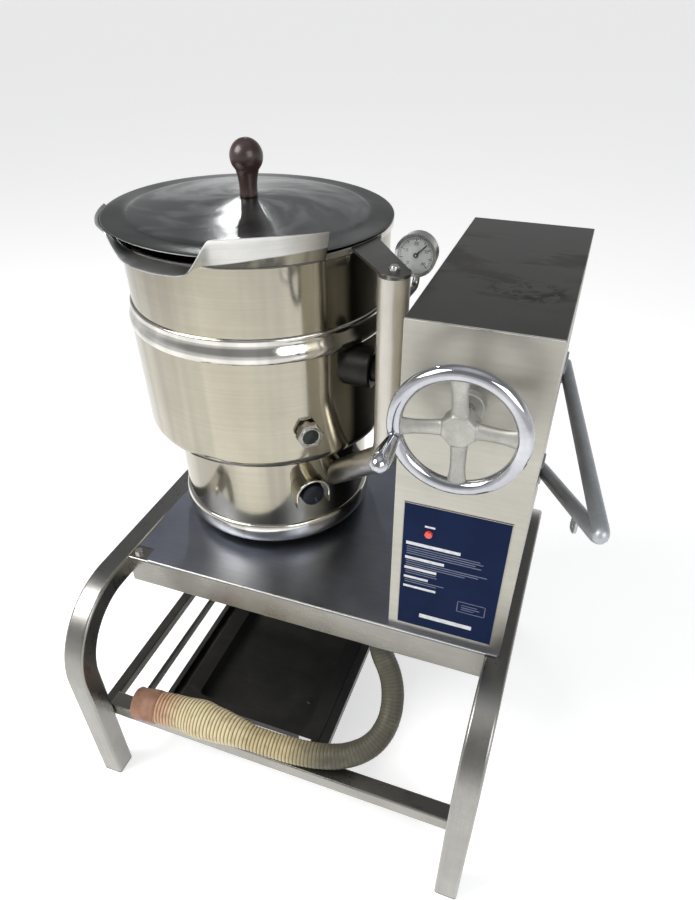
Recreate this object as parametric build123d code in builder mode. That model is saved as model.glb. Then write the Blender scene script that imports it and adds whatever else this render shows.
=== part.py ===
from build123d import *
from math import atan2, cos, pi, radians, sin, tan
import os

os.makedirs("parts", exist_ok=True)

# ---------------------------------------------------------------------------
# Electric tabletop tilting steam jacketed kettle with a hand-cranked console,
# standing on a tubular frame with a drain pan.  Millimetres, +Z up, the
# pouring lip towards -Y, the console on the +X side.
# Working positions are taken from the console's lower front left corner on
# the deck; OX, OY, OZ carry them to the origin on the floor, under the middle
# of the whole unit.
# ---------------------------------------------------------------------------
OX, OY, OZ = 154.8, -175.0, 545.0

# console cabinet
CON_W, CON_D, CON_H, SHEET = 220.0, 485.0, 638.0, 2.0
# kettle axis, tilting axis
KX, KY = -378.0, 314.0
TY, TZ = 204.0, 440.0
# kettle radii and heights above the deck
BOWL_R, WALL = 252.0, 3.0
RIM_R, RIM_Z = 257.0, 655.0
JACKET_R, BAND_Z, KNUCKLE, JACKET_Z = 260.0, 479.0, 32.0, 246.0
SKIRT_R, SKIRT_Z = 209.0, 68.0
BASE_Z = 15.0
LIP_TURN = -10.0
# lid: centre of its edge, rise of the cone over the edge, lean of its axis
LID_R, LID_X, LID_Y, LID_Z, LID_RISE = 268.0, -389.3, 313.1, 664.7, 22.0
LID_LEAN_X, LID_LEAN_Y = 0.020, 0.015
# frame
LEG_W, LEG_D, LEG_WALL, BEND = 48.0, 50.0, 3.0, 165.0
LEG_XL, LEG_XR, LEG_YF, LEG_YR = -624.0, 218.0, -210.0, 560.0
DECK_T = 6.0
DECK_X0, DECK_X1, DECK_Y0, DECK_Y1 = -554.0, 220.0, -9.0, 540.0
STR, STR_Z = 38.0, -345.0
# handwheel and worm
WX, WZ, WY = 106.0, 521.0, -81.0
RIM_MEAN, RIM_TUBE = 90.5, 11.0
GRIP_X, GRIP_Z = 18.0, 499.0
# drain pan
PAN_X0, PAN_X1, PAN_Y0, PAN_Y1, PAN_Z = -494.0, -131.0, -79.0, 430.0, -379.7
# hose
HOSE_D, WIDE_D = 52.0, 76.0


def P(x, y, z):
    "a point given from the console corner, in the model's own frame"
    return Vector(x + OX, y + OY, z + OZ)


def up(x, y, z):
    "a level plane at a point"
    return Plane(origin=P(x, y, z), x_dir=(1, 0, 0), z_dir=(0, 0, 1))


def along_x(x, y, z):
    "a plane facing +X; its x runs along +Y and its y along +Z"
    return Plane(origin=P(x, y, z), x_dir=(0, 1, 0), z_dir=(1, 0, 0))


def along_y(x, y, z):
    "a plane facing -Y; its x runs along +X and its y along +Z"
    return Plane(origin=P(x, y, z), x_dir=(1, 0, 0), z_dir=(0, -1, 0))


def radial(angle, z, r=0.0):
    "a plane facing out of the kettle axis; its x is level and its y is up"
    a = radians(angle)
    return Plane(origin=P(KX + r * cos(a), KY + r * sin(a), z),
                 x_dir=(-sin(a), cos(a), 0), z_dir=(cos(a), sin(a), 0))


# upright half-plane through the kettle axis for turned profiles: x is the
# radius and y is the height above the deck
TURN = Plane(origin=P(KX, KY, 0), x_dir=(1, 0, 0), z_dir=(0, -1, 0))
K_AXIS = Axis(P(KX, KY, 0), (0, 0, 1))
# the lid's own half-plane leans with it; its y is the height over the lid's edge
LID_UP = Vector(LID_LEAN_X, LID_LEAN_Y, 1).normalized()
LID_OUT = Vector(1, 0, -LID_LEAN_X).normalized()
LID_TURN = Plane(origin=P(LID_X, LID_Y, LID_Z), x_dir=LID_OUT, z_dir=LID_OUT.cross(LID_UP))
L_AXIS = Axis(P(LID_X, LID_Y, LID_Z), LID_UP)


def save(node, name):
    node.part.label = name
    export_step(node.part, "parts/" + name + ".step")


# ------------------------------------------------------------------ the frame
# each side frame is one bent rectangular tube: front leg, top rail, rear leg
def leg_route(x):
    "corner points of a side frame's centre line"
    return [P(x, LEG_YF, -539), P(x, LEG_YF, -31), P(x, LEG_YR, -31), P(x, LEG_YR, -539)]


with BuildPart() as left_side_frame:
    with BuildLine() as left_route:
        FilletPolyline(*leg_route(LEG_XL), radius=BEND)
    with BuildSketch(up(LEG_XL, LEG_YF, -539)):
        RectangleRounded(LEG_W, LEG_D, 6)
        RectangleRounded(LEG_W - 2 * LEG_WALL, LEG_D - 2 * LEG_WALL, 3, mode=Mode.SUBTRACT)
    sweep(path=left_route.wires()[0])
save(left_side_frame, "left_side_frame")

with BuildPart() as right_side_frame:
    with BuildLine() as right_route:
        FilletPolyline(*leg_route(LEG_XR), radius=BEND)
    with BuildSketch(up(LEG_XR, LEG_YF, -539)):
        RectangleRounded(LEG_W, LEG_D, 6)
        RectangleRounded(LEG_W - 2 * LEG_WALL, LEG_D - 2 * LEG_WALL, 3, mode=Mode.SUBTRACT)
    sweep(path=right_route.wires()[0])
save(right_side_frame, "right_side_frame")

# plastic feet plugged into the four leg ends
with BuildPart() as leg_feet:
    for fx in (LEG_XL, LEG_XR):
        for fy in (LEG_YF, LEG_YR):
            with BuildSketch(up(fx, fy, -545)):
                RectangleRounded(LEG_W, LEG_D, 6)
            extrude(amount=6)
            with BuildSketch(up(fx, fy, -539)):
                RectangleRounded(LEG_W - 2 * LEG_WALL, LEG_D - 2 * LEG_WALL, 3)
            extrude(amount=22)
    chamfer(leg_feet.edges().group_by(Axis.Z)[0], 2.5)
save(leg_feet, "leg_feet")

IN_L, IN_R = LEG_XL + LEG_W / 2, LEG_XR - LEG_W / 2
BOLTS_RAIL = [(-585.0, 11.0), (-585.0, 520.0)]
BOLTS_DECK = [(-528.0, 520.0), (180.0, 520.0)]

# front and rear rails under the deck, rectangular tube
with BuildPart() as front_rail:
    with BuildSketch(along_x(IN_L, 11, -42)):
        RectangleRounded(40, 72, 4)
        RectangleRounded(34, 66, 1.5, mode=Mode.SUBTRACT)
    extrude(amount=IN_R - IN_L)
    for bx, by in BOLTS_RAIL + BOLTS_DECK:
        if by < 100:
            with BuildSketch(up(bx, by, -20)):
                Circle(4)
            extrude(amount=20, mode=Mode.SUBTRACT)
save(front_rail, "front_rail")

with BuildPart() as rear_rail:
    with BuildSketch(along_x(IN_L, 520, -42)):
        RectangleRounded(40, 72, 4)
        RectangleRounded(34, 66, 1.5, mode=Mode.SUBTRACT)
    extrude(amount=IN_R - IN_L)
    for bx, by in BOLTS_RAIL + BOLTS_DECK:
        if by > 100:
            with BuildSketch(up(bx, by, -20)):
                Circle(4)
            extrude(amount=20, mode=Mode.SUBTRACT)
save(rear_rail, "rear_rail")

# deck plate that carries the console and closes its bottom
SPX, SPY = 60.0, 110.0
with BuildPart() as deck_plate:
    with BuildSketch(up((DECK_X0 + DECK_X1) / 2, (DECK_Y0 + DECK_Y1) / 2, -DECK_T)):
        RectangleRounded(DECK_X1 - DECK_X0, DECK_Y1 - DECK_Y0, 5)
    extrude(amount=DECK_T)
    # ledge between the deck and the left side frame
    with BuildSketch(up((IN_L + DECK_X0 + 8) / 2, 265.5, -2 * DECK_T)):
        Rectangle(DECK_X0 + 8 - IN_L, 469)
    extrude(amount=DECK_T)
    with BuildSketch(up(SPX, SPY, -DECK_T - 1)):
        Circle(17)
    extrude(amount=DECK_T + 2, mode=Mode.SUBTRACT)
    for bx, by in BOLTS_DECK:
        with BuildSketch(up(bx, by, -DECK_T - 1)):
            Circle(4)
        extrude(amount=DECK_T + 2, mode=Mode.SUBTRACT)
save(deck_plate, "deck_plate")

# hexagon screws in the rails and the deck
with BuildPart() as frame_bolts:
    for (bx, by), seat in [(b, -DECK_T) for b in BOLTS_RAIL] + [(b, 0.0) for b in BOLTS_DECK]:
        with BuildSketch(up(bx, by, seat)):
            RegularPolygon(9, 6)
        extrude(amount=6.5)
        with BuildSketch(up(bx, by, -18)):
            Circle(4)
        extrude(amount=18 + seat)
save(frame_bolts, "frame_bolts")

# lower stretchers between the side rails, square tube
LOW_L, LOW_R = LEG_XL + 12.5, LEG_XR - 12.5
with BuildPart() as front_stretcher:
    with BuildSketch(along_x(LOW_L, -165, STR_Z)):
        RectangleRounded(STR, STR, 4)
        RectangleRounded(STR - 5, STR - 5, 1.5, mode=Mode.SUBTRACT)
    extrude(amount=LOW_R - LOW_L)
save(front_stretcher, "front_stretcher")

with BuildPart() as rear_stretcher:
    with BuildSketch(along_x(LOW_L, 505, STR_Z)):
        RectangleRounded(STR, STR, 4)
        RectangleRounded(STR - 5, STR - 5, 1.5, mode=Mode.SUBTRACT)
    extrude(amount=LOW_R - LOW_L)
save(rear_stretcher, "rear_stretcher")

LOW_Y0, LOW_Y1 = LEG_YF + LEG_D / 2, LEG_YR - LEG_D / 2
with BuildPart() as low_rails:
    for rail_x in (LEG_XL, LEG_XR):
        with BuildSketch(along_y(rail_x, LOW_Y1, STR_Z)):
            RectangleRounded(25, 25, 3)
            RectangleRounded(20, 20, 1, mode=Mode.SUBTRACT)
        extrude(amount=LOW_Y1 - LOW_Y0)
    # thin bar between the stretchers, left of the drain pan
    with BuildSketch(along_y(-554, 505 - STR / 2, STR_Z)):
        RectangleRounded(8, 22, 1.5)
    extrude(amount=505 - STR / 2 + 165 - STR / 2)
save(low_rails, "low_rails")

# channel slides for the drain pan, hung under the stretchers
SL_TOP = STR_Z - STR / 2
PAN_C = (PAN_X0 + PAN_X1) / 2
with BuildPart() as left_slide:
    with BuildSketch(along_y(PAN_C, 522, 0)):
        with BuildLine():
            Polyline((-208.5, SL_TOP), (-196.5, SL_TOP), (-196.5, SL_TOP - 3), (-205.5, SL_TOP - 3),
                     (-205.5, SL_TOP - 18), (-163.5, SL_TOP - 18), (-163.5, SL_TOP - 21),
                     (-208.5, SL_TOP - 21), close=True)
        make_face()
    extrude(amount=522 + 160)
save(left_slide, "left_slide")

with BuildPart() as right_slide:
    with BuildSketch(along_y(PAN_C, 522, 0)):
        with BuildLine():
            Polyline((208.5, SL_TOP), (196.5, SL_TOP), (196.5, SL_TOP - 3), (205.5, SL_TOP - 3),
                     (205.5, SL_TOP - 18), (163.5, SL_TOP - 18), (163.5, SL_TOP - 21),
                     (208.5, SL_TOP - 21), close=True)
        make_face()
    extrude(amount=522 + 160)
save(right_slide, "right_slide")

# shallow drain pan with side flanges and a folded front lip
with BuildPart() as drain_pan:
    pan_cx, pan_cy = PAN_C, (PAN_Y0 + PAN_Y1) / 2
    pan_w, pan_l = PAN_X1 - PAN_X0, PAN_Y1 - PAN_Y0
    with BuildSketch(up(pan_cx, pan_cy, PAN_Z - 2)):
        RectangleRounded(pan_w, pan_l, 6)
    extrude(amount=2)
    with BuildSketch(up(pan_cx, pan_cy, PAN_Z - 34)):
        RectangleRounded(pan_w - 74, pan_l - 38, 14)
    extrude(amount=34)
    with BuildSketch(up(pan_cx, pan_cy, PAN_Z - 32)):
        RectangleRounded(pan_w - 78, pan_l - 42, 12)
    extrude(amount=40, mode=Mode.SUBTRACT)
    with BuildSketch(up(pan_cx, PAN_Y0 + 1, PAN_Z - 18)):
        Rectangle(pan_w - 100, 2)
    extrude(amount=17)
    with BuildSketch(up(-200, 33, PAN_Z - 40)):
        Circle(5)
    extrude(amount=20, mode=Mode.SUBTRACT)
save(drain_pan, "drain_pan")

# drain pipe: from a hole in the deck inside the console it runs under the deck
# and turns down into the hose
HX, HY, HZ = -36.0, 66.0, -84.0
spigot_pts = [P(SPX, SPY, 0), P(SPX, SPY, -42), P(HX, HY, -42), P(HX, HY, HZ)]
with BuildPart() as drain_spigot:
    with BuildLine() as spigot_route:
        FilletPolyline(*spigot_pts, radius=24)
    with BuildSketch(Plane(origin=spigot_pts[0], z_dir=(0, 0, -1))):
        Circle(16.9)
        Circle(14, mode=Mode.SUBTRACT)
    sweep(path=spigot_route.wires()[0])
save(drain_spigot, "drain_spigot")

# drain hose: straight runs joined by tangent arcs
HOSE = [(-36, 66, -84), (-36, 66, -112), (-27.5, 44.6, -150), (7.4, 20.2, -192), (24, -14.8, -228),
        (26.4, -55.8, -258), (8.9, -100.6, -280), (-33.4, -134.1, -294), (-89.7, -153.7, -299.3),
        (-160, -163, -299.2), (-236, -168.3, -292.6), (-284, -168.2, -287.6)]
runs = [(Vector(*HOSE[i + 1]) - Vector(*HOSE[i])) for i in range(len(HOSE) - 1)]
HOSE_R = []
for i in range(1, len(HOSE) - 1):
    turn = runs[i - 1].get_angle(runs[i])
    HOSE_R.append(0.45 * min(runs[i - 1].length, runs[i].length) / tan(radians(turn) / 2))
print("hose turns", [round(runs[i - 1].get_angle(runs[i]), 1) for i in range(1, len(runs))])
print("hose radii", [round(r) for r in HOSE_R])
with BuildPart() as drain_hose:
    with BuildLine() as hose_route:
        FilletPolyline(*[P(*q) for q in HOSE], radius=HOSE_R)
    with BuildSketch(Plane(origin=P(*HOSE[0]), z_dir=runs[0].normalized())):
        Circle(HOSE_D / 2)
    sweep(path=hose_route.wires()[0])
hose_len = hose_route.wires()[0].length
print("hose length", round(hose_len, 1), "volume / section", round(
    drain_hose.part.volume / (pi * HOSE_D ** 2 / 4 * hose_len), 4))
save(drain_hose, "drain_hose")

# wide ribbed sleeve that carries on from the hose
WIDE = [HOSE[-1], (-334, -167.4, -286.9), (-394, -166.4, -287.3), (-446, -169.2, -287.4), (-486, -173.4, -287.2)]
wide_runs = [(Vector(*WIDE[i + 1]) - Vector(*WIDE[i])) for i in range(len(WIDE) - 1)]
WIDE_R = []
for i in range(1, len(WIDE) - 1):
    turn = wide_runs[i - 1].get_angle(wide_runs[i])
    WIDE_R.append(0.45 * min(wide_runs[i - 1].length, wide_runs[i].length) / tan(radians(turn) / 2))
print("sleeve radii", [round(r) for r in WIDE_R])
with BuildPart() as hose_sleeve:
    with BuildLine() as wide_route:
        FilletPolyline(*[P(*q) for q in WIDE], radius=WIDE_R)
    with BuildSketch(Plane(origin=P(*WIDE[0]), z_dir=wide_runs[0].normalized())):
        Circle(WIDE_D / 2)
    sweep(path=wide_route.wires()[0])
print("sleeve length", round(wide_route.wires()[0].length, 1))
save(hose_sleeve, "hose_sleeve")

# smooth rubber cuff on the sleeve's free end
END_DIR = wide_runs[-1].normalized()
with BuildPart() as hose_cuff:
    with BuildSketch(Plane(origin=P(*WIDE[-1]), z_dir=END_DIR)):
        Circle(37)
        Circle(30, mode=Mode.SUBTRACT)
    extrude(amount=46)
    chamfer(hose_cuff.edges().filter_by(GeomType.CIRCLE).group_by(Axis.X)[0], 2)
save(hose_cuff, "hose_cuff")

# ---------------------------------------------------------------- the console
with BuildPart() as console_front:
    with BuildSketch(along_y(0, SHEET, 0)):
        with Locations((CON_W / 2, (CON_H - SHEET) / 2)):
            Rectangle(CON_W, CON_H - SHEET)
        with Locations((WX, WZ)):
            Circle(14, mode=Mode.SUBTRACT)
    extrude(amount=SHEET)
save(console_front, "console_front")

with BuildPart() as console_back:
    with BuildSketch(along_y(0, CON_D, 0)):
        with Locations((CON_W / 2, (CON_H - SHEET) / 2)):
            Rectangle(CON_W, CON_H - SHEET)
        with Locations([(CON_W / 2, 90 + 16 * i) for i in range(5)]):
            SlotOverall(90, 6, mode=Mode.SUBTRACT)
    extrude(amount=SHEET)
save(console_back, "console_back")

with BuildPart() as console_left:
    with BuildSketch(along_x(0, 0, 0)):
        with Locations((CON_D / 2, (CON_H - SHEET) / 2)):
            Rectangle(CON_D - 2 * SHEET, CON_H - SHEET)
        with Locations((TY, TZ)):
            Circle(30, mode=Mode.SUBTRACT)
    extrude(amount=SHEET)
save(console_left, "console_left")

with BuildPart() as console_right:
    with BuildSketch(along_x(CON_W - SHEET, 0, 0)):
        with Locations((CON_D / 2, (CON_H - SHEET) / 2)):
            Rectangle(CON_D - 2 * SHEET, CON_H - SHEET)
    extrude(amount=SHEET)
save(console_right, "console_right")

with BuildPart() as console_top:
    with BuildSketch(up(CON_W / 2, CON_D / 2, CON_H - SHEET)):
        Rectangle(CON_W, CON_D)
    extrude(amount=SHEET)
    chamfer(console_top.faces().sort_by(Axis.Z)[-1].edges(), 1.2)
save(console_top, "console_top")

# plain label panel on the console's front
with BuildPart() as label_panel:
    with BuildSketch(along_y(108.5, 0, 165.5)):
        RectangleRounded(183, 301, 3)
    extrude(amount=1)
save(label_panel, "label_panel")

# red indicator lens on the label
with BuildPart() as indicator_lens:
    with BuildSketch(along_y(64, -1, 256)):
        Circle(7)
    extrude(amount=6)
    fillet(indicator_lens.faces().sort_by(Axis.Y)[0].edges(), 2.5)
save(indicator_lens, "indicator_lens")

# flange bush for the worm shaft behind the handwheel
with BuildPart() as worm_bush:
    with BuildSketch(along_y(WX, 0, WZ)):
        Circle(24)
        Circle(10.05, mode=Mode.SUBTRACT)
    extrude(amount=14)
    fillet(worm_bush.edges().filter_by(GeomType.CIRCLE).group_by(Axis.Y)[0].sort_by(SortBy.RADIUS)[-1:], 3)
    with BuildSketch(along_y(WX, 18, WZ)):
        Circle(14)
        Circle(10.05, mode=Mode.SUBTRACT)
    extrude(amount=18)
save(worm_bush, "worm_bush")

# internal bracket: a plate for the trunnion's inner bearing with a foot on the
# deck and an arm to the rear end of the worm shaft
with BuildPart() as gear_bracket:
    with BuildSketch(along_x(150, 0, 0)):
        with Locations((TY, 235)):
            Rectangle(120, 470)
        with Locations((TY, TZ)):
            Circle(60)
        with Locations((TY + 65, 430)):
            Rectangle(60, 240)
        with Locations((TY, TZ)):
            Circle(38, mode=Mode.SUBTRACT)
    extrude(amount=6)
    with BuildSketch(up(176, TY, 0)):
        Rectangle(56, 120)
    extrude(amount=6)
    with BuildSketch(along_y(0, 300, 0)):
        with Locations((118, 521)):
            Rectangle(64, 50)
        with Locations((WX, WZ)):
            Circle(10.05, mode=Mode.SUBTRACT)
    extrude(amount=12)
save(gear_bracket, "gear_bracket")

# two bearing rings for the trunnion
with BuildPart() as trunnion_bearings:
    with BuildSketch(along_x(SHEET, TY, TZ)):
        Circle(46)
        Circle(25.05, mode=Mode.SUBTRACT)
    extrude(amount=20)
    with BuildSketch(along_x(144, TY, TZ)):
        Circle(38)
        Circle(25.05, mode=Mode.SUBTRACT)
    extrude(amount=18)
save(trunnion_bearings, "trunnion_bearings")

# worm shaft: runs from the handwheel hub back through the worm
with BuildPart() as worm_shaft:
    with BuildSketch(along_y(WX, 306, WZ)):
        Circle(10)
    extrude(amount=306 + 80)
    chamfer(worm_shaft.faces().sort_by(Axis.Y)[0].edges(), 1)
    with BuildSketch(along_y(WX, 250, WZ)):
        Circle(16.5)
    extrude(amount=92)
    for k in range(8):
        with BuildSketch(along_y(WX, 246 - 10.5 * k, WZ)):
            Circle(18)
            Circle(14, mode=Mode.SUBTRACT)
        extrude(amount=5, mode=Mode.SUBTRACT)
save(worm_shaft, "worm_shaft")

# handwheel: chromed rim, cast spider with four spokes, nut
SPOKES = [4.0, 94.0, 184.0, 274.0]
with BuildPart() as handwheel_rim:
    with BuildSketch(Plane(origin=P(WX, WY, WZ), x_dir=(1, 0, 0), z_dir=(0, 0, 1))):
        with Locations((RIM_MEAN, 0)):
            Circle(RIM_TUBE)
    revolve(axis=Axis(P(WX, WY, WZ), (0, 1, 0)))
save(handwheel_rim, "handwheel_rim")

with BuildPart() as handwheel_spider:
    with BuildSketch(along_y(WX, -50, WZ)):
        RegularPolygon(27.5, 8)
    extrude(amount=32)
    chamfer(handwheel_spider.faces().sort_by(Axis.Y)[0].edges(), 4)
    for s in SPOKES:
        a = radians(s)
        spoke_plane = Plane(origin=P(WX + 16 * cos(a), -69, WZ + 16 * sin(a)), x_dir=(0, 1, 0),
                            z_dir=(cos(a), 0, sin(a)))
        end_plane = Plane(origin=P(WX + 88 * cos(a), WY, WZ + 88 * sin(a)), x_dir=(0, 1, 0),
                          z_dir=(cos(a), 0, sin(a)))
        with BuildSketch(spoke_plane):
            Ellipse(8.5, 12.5)
        with BuildSketch(end_plane):
            Ellipse(6.5, 11)
        loft()
    with BuildSketch(along_y(WX, -40, WZ)):
        Circle(10)
    extrude(amount=60, mode=Mode.SUBTRACT)
    add(handwheel_rim.part, mode=Mode.SUBTRACT)
save(handwheel_spider, "handwheel_spider")

# turning handle on the wheel's rim: fixed stud with a collar, free grip
with BuildPart() as handle_stud:
    with BuildSketch(along_y(GRIP_X, -84, GRIP_Z)):
        Circle(11)
    extrude(amount=10)
    with BuildSketch(along_y(GRIP_X, -94, GRIP_Z)):
        Circle(4)
    extrude(amount=66)
    add(handwheel_rim.part, mode=Mode.SUBTRACT)
save(handle_stud, "handle_stud")

with BuildPart() as handle_grip:
    with BuildSketch(Plane(origin=P(GRIP_X, -94.3, GRIP_Z), x_dir=(1, 0, 0), z_dir=(0, 0, 1))):
        with BuildLine():
            l1 = Polyline((4.05, 0), (8.5, 0), (9.5, -2))
            l2 = Spline(l1 @ 1, (11.5, -20), (14.2, -50), (12.5, -66), (4.05, -74.5))
            Line(l2 @ 1, (4.05, 0))
        make_face()
    revolve(axis=Axis(P(GRIP_X, 0, GRIP_Z), (0, 1, 0)))
    with BuildSketch(along_y(GRIP_X, -94.3 - 67, GRIP_Z)):
        Circle(4.6)
    extrude(amount=7)
save(handle_grip, "handle_grip")

# tubular bracket on the console's right side: long level arm and a strut
ARM_A, ARM_K, STRUT_A = (220, 452, 382), (328, -62, 372), (220, 214, 285)
arm_dir = (Vector(*ARM_K) - Vector(*ARM_A)).normalized()
strut_dir = (Vector(*ARM_K) - Vector(*STRUT_A)).normalized()
with BuildPart() as bracket_arm:
    with BuildSketch(Plane(origin=P(*ARM_A) - arm_dir * 40, z_dir=arm_dir)):
        Circle(12.7)
        Circle(10.7, mode=Mode.SUBTRACT)
    extrude(amount=40 + (Vector(*ARM_K) - Vector(*ARM_A)).length)
    with Locations(Location(P(*ARM_K))):
        Sphere(12.7)
    with BuildSketch(along_x(CON_W, ARM_A[1] - 15, ARM_A[2])):
        SlotOverall(88, 44)
    extrude(amount=4)
    with BuildSketch(along_x(CON_W - 80, ARM_A[1], ARM_A[2])):
        Rectangle(400, 200)
    extrude(amount=80, mode=Mode.SUBTRACT)
save(bracket_arm, "bracket_arm")

with BuildPart() as bracket_strut:
    with BuildSketch(Plane(origin=P(*STRUT_A) - strut_dir * 40, z_dir=strut_dir)):
        Circle(11)
        Circle(9, mode=Mode.SUBTRACT)
    extrude(amount=40 + (Vector(*ARM_K) - Vector(*STRUT_A)).length - 2)
    with BuildSketch(along_x(CON_W, STRUT_A[1], STRUT_A[2])):
        SlotOverall(70, 42)
    extrude(amount=4)
    with BuildSketch(along_x(CON_W - 60, STRUT_A[1], STRUT_A[2])):
        Rectangle(300, 200)
    extrude(amount=60, mode=Mode.SUBTRACT)
    # lug with a hole under the strut
    lug_mid = Vector(*STRUT_A) + strut_dir * 205
    with BuildSketch(Plane(origin=P(lug_mid.X - 2, lug_mid.Y, lug_mid.Z - 20),
                           x_dir=(strut_dir.X, strut_dir.Y, 0), z_dir=(-strut_dir.Y, strut_dir.X, 0))):
        RectangleRounded(20, 38, 6)
        with Locations((0, -9)):
            Circle(4, mode=Mode.SUBTRACT)
    extrude(amount=2.5, both=True)
    with BuildSketch(Plane(origin=P(*ARM_A) - arm_dir * 40, z_dir=arm_dir)):
        Circle(12.7)
    extrude(amount=60 + (Vector(*ARM_K) - Vector(*ARM_A)).length, mode=Mode.SUBTRACT)
save(bracket_strut, "bracket_strut")

# ----------------------------------------------------------------- the kettle
LIP = LIP_TURN - 90.0


# dished bottom: a crown and a knuckle that meet tangentially
BOWL_BR, KN, KN_Z, BOWL_Z = 240.0, 90.0, 400.0, 272.0
kc = BOWL_BR - KN
gap = KN_Z - BOWL_Z
CROWN = (kc * kc + gap * gap - KN * KN) / (2 * (gap - KN))
crown_z = BOWL_Z + CROWN
dish = atan2(kc, crown_z - KN_Z)


def on_crown(angle, t):
    return ((CROWN - t) * sin(angle), crown_z - (CROWN - t) * cos(angle))


def on_knuckle(angle, t):
    return (kc + (KN - t) * sin(angle), KN_Z - (KN - t) * cos(angle))


with BuildPart() as bowl_bottom:
    with BuildSketch(TURN):
        with BuildLine():
            half = (dish + pi / 2) / 2
            Line(on_crown(0, WALL), on_crown(0, 0))
            ThreePointArc(on_crown(0, 0), on_crown(dish / 2, 0), on_crown(dish, 0))
            ThreePointArc(on_crown(dish, 0), on_knuckle(half, 0), (BOWL_BR, KN_Z))
            Line((BOWL_BR, KN_Z), (BOWL_BR - WALL, KN_Z))
            ThreePointArc((BOWL_BR - WALL, KN_Z), on_knuckle(half, WALL), on_crown(dish, WALL))
            ThreePointArc(on_crown(dish, WALL), on_crown(dish / 2, WALL), on_crown(0, WALL))
        make_face()
    revolve(axis=K_AXIS)
save(bowl_bottom, "bowl_bottom")

with BuildPart() as bowl_wall:
    with BuildSketch(TURN):
        with BuildLine():
            Polyline((BOWL_BR, KN_Z), (BOWL_BR, 470), (BOWL_R, 499), (BOWL_R, RIM_Z), (BOWL_R - WALL, RIM_Z),
                     (BOWL_R - WALL, 499.7), (BOWL_BR - WALL, 470.7), (BOWL_BR - WALL, KN_Z), close=True)
        make_face()
    revolve(axis=K_AXIS)
    # opening in the wall at the pouring lip
    with BuildSketch(radial(LIP, RIM_Z, 0)):
        with Locations((0, 4)):
            Rectangle(190, 22)
    extrude(amount=320, mode=Mode.SUBTRACT)
save(bowl_wall, "bowl_wall")

with BuildPart() as rim_ring:
    with BuildSketch(TURN):
        with BuildLine():
            Polyline((BOWL_R, RIM_Z), (RIM_R - 1, RIM_Z), (RIM_R, RIM_Z - 1), (RIM_R, RIM_Z - 10),
                     (RIM_R - 1.5, RIM_Z - 11.5), (BOWL_R, RIM_Z - 12), close=True)
        make_face()
    revolve(axis=K_AXIS)
    # opening in the wall at the pouring lip
    with BuildSketch(radial(LIP, RIM_Z, 0)):
        with Locations((0, 4)):
            Rectangle(190, 22)
    extrude(amount=320, mode=Mode.SUBTRACT)
save(rim_ring, "rim_ring")

# pouring lip: a sheet strip that leans from upright wings into a level nose.
# each station, from the left wing's end to the right one's: angle about the
# kettle axis, then radius and height of its rim side and of its free edge
LIP_T = 2.4
LR = RIM_R + 1.1
STATIONS = [(-163, LR, 646, 285, 671), (-151.5, LR, 646, 285, 671.5), (-140, LR, 646, 285, 672.5),
            (-132, LR, 646, 287, 677), (-126, LR, 646, 290, 681), (-120.5, LR, 646, 290.3, 681),
            (-117.7, LR - 1.6, 647, 289.7, 661), (-114.5, LR - 1.6, 647, 288, 643.5),
            (-109.6, LR - 1.6, 647, 288, 638), (-100, LR - 1.6, 647, 287.5, 636.5),
            (-91, LR - 1.6, 647, 287.5, 638), (-86.2, LR - 1.6, 647, 287.5, 643.5),
            (-84.6, LR - 1.6, 647, 287, 652.7), (-82.1, LR - 1.6, 647, 288, 669),
            (-80, LR - 0.8, 646.5, 288, 684.7), (-77.7, LR, 646, 290, 699.5), (-68, LR, 646, 287, 702),
            (-58.8, LR, 646, 281, 701), (-49, LR, 646, 276, 698), (-38.5, LR, 646, 272, 693.8)]


def lip_point(angle, r, z):
    return P(KX + r * cos(radians(angle)), KY + r * sin(radians(angle)), z)


with BuildPart() as pouring_lip:
    low = [lip_point(t, r0, z0) for t, r0, z0, r1, z1 in STATIONS]
    high = [lip_point(t, r1, z1) for t, r0, z0, r1, z1 in STATIONS]
    for i in range(len(STATIONS)):
        j, k = max(i - 1, 0), min(i + 1, len(STATIONS) - 1)
        trend = ((low[k] + high[k]) - (low[j] + high[j])).normalized()
        rise = high[i] - low[i]
        x_dir = rise.normalized()
        normal = x_dir.cross(trend).normalized()
        with BuildSketch(Plane(origin=low[i] + rise * 0.5, x_dir=x_dir, z_dir=normal.cross(x_dir) * -1)):
            Rectangle(rise.length, LIP_T)
    loft(ruled=True)
    # trimmed to the rim and the bowl that it is welded to
    with BuildSketch(up(KX, KY, RIM_Z - 12)):
        Circle(RIM_R)
    extrude(amount=12, mode=Mode.SUBTRACT)
    with BuildSketch(up(KX, KY, 560)):
        Circle(BOWL_R)
    extrude(amount=96, mode=Mode.SUBTRACT)
save(pouring_lip, "pouring_lip")

# rolled band where the jacket closes on the bowl
with BuildPart() as jacket_band:
    with BuildSketch(TURN):
        with BuildLine():
            ThreePointArc((BOWL_R, 521), (261, 507), (263, 479))
            Polyline((263, 479), (257, 479), (BOWL_R, 499), (BOWL_R, 521))
        make_face()
    revolve(axis=K_AXIS)
save(jacket_band, "jacket_band")

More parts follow.
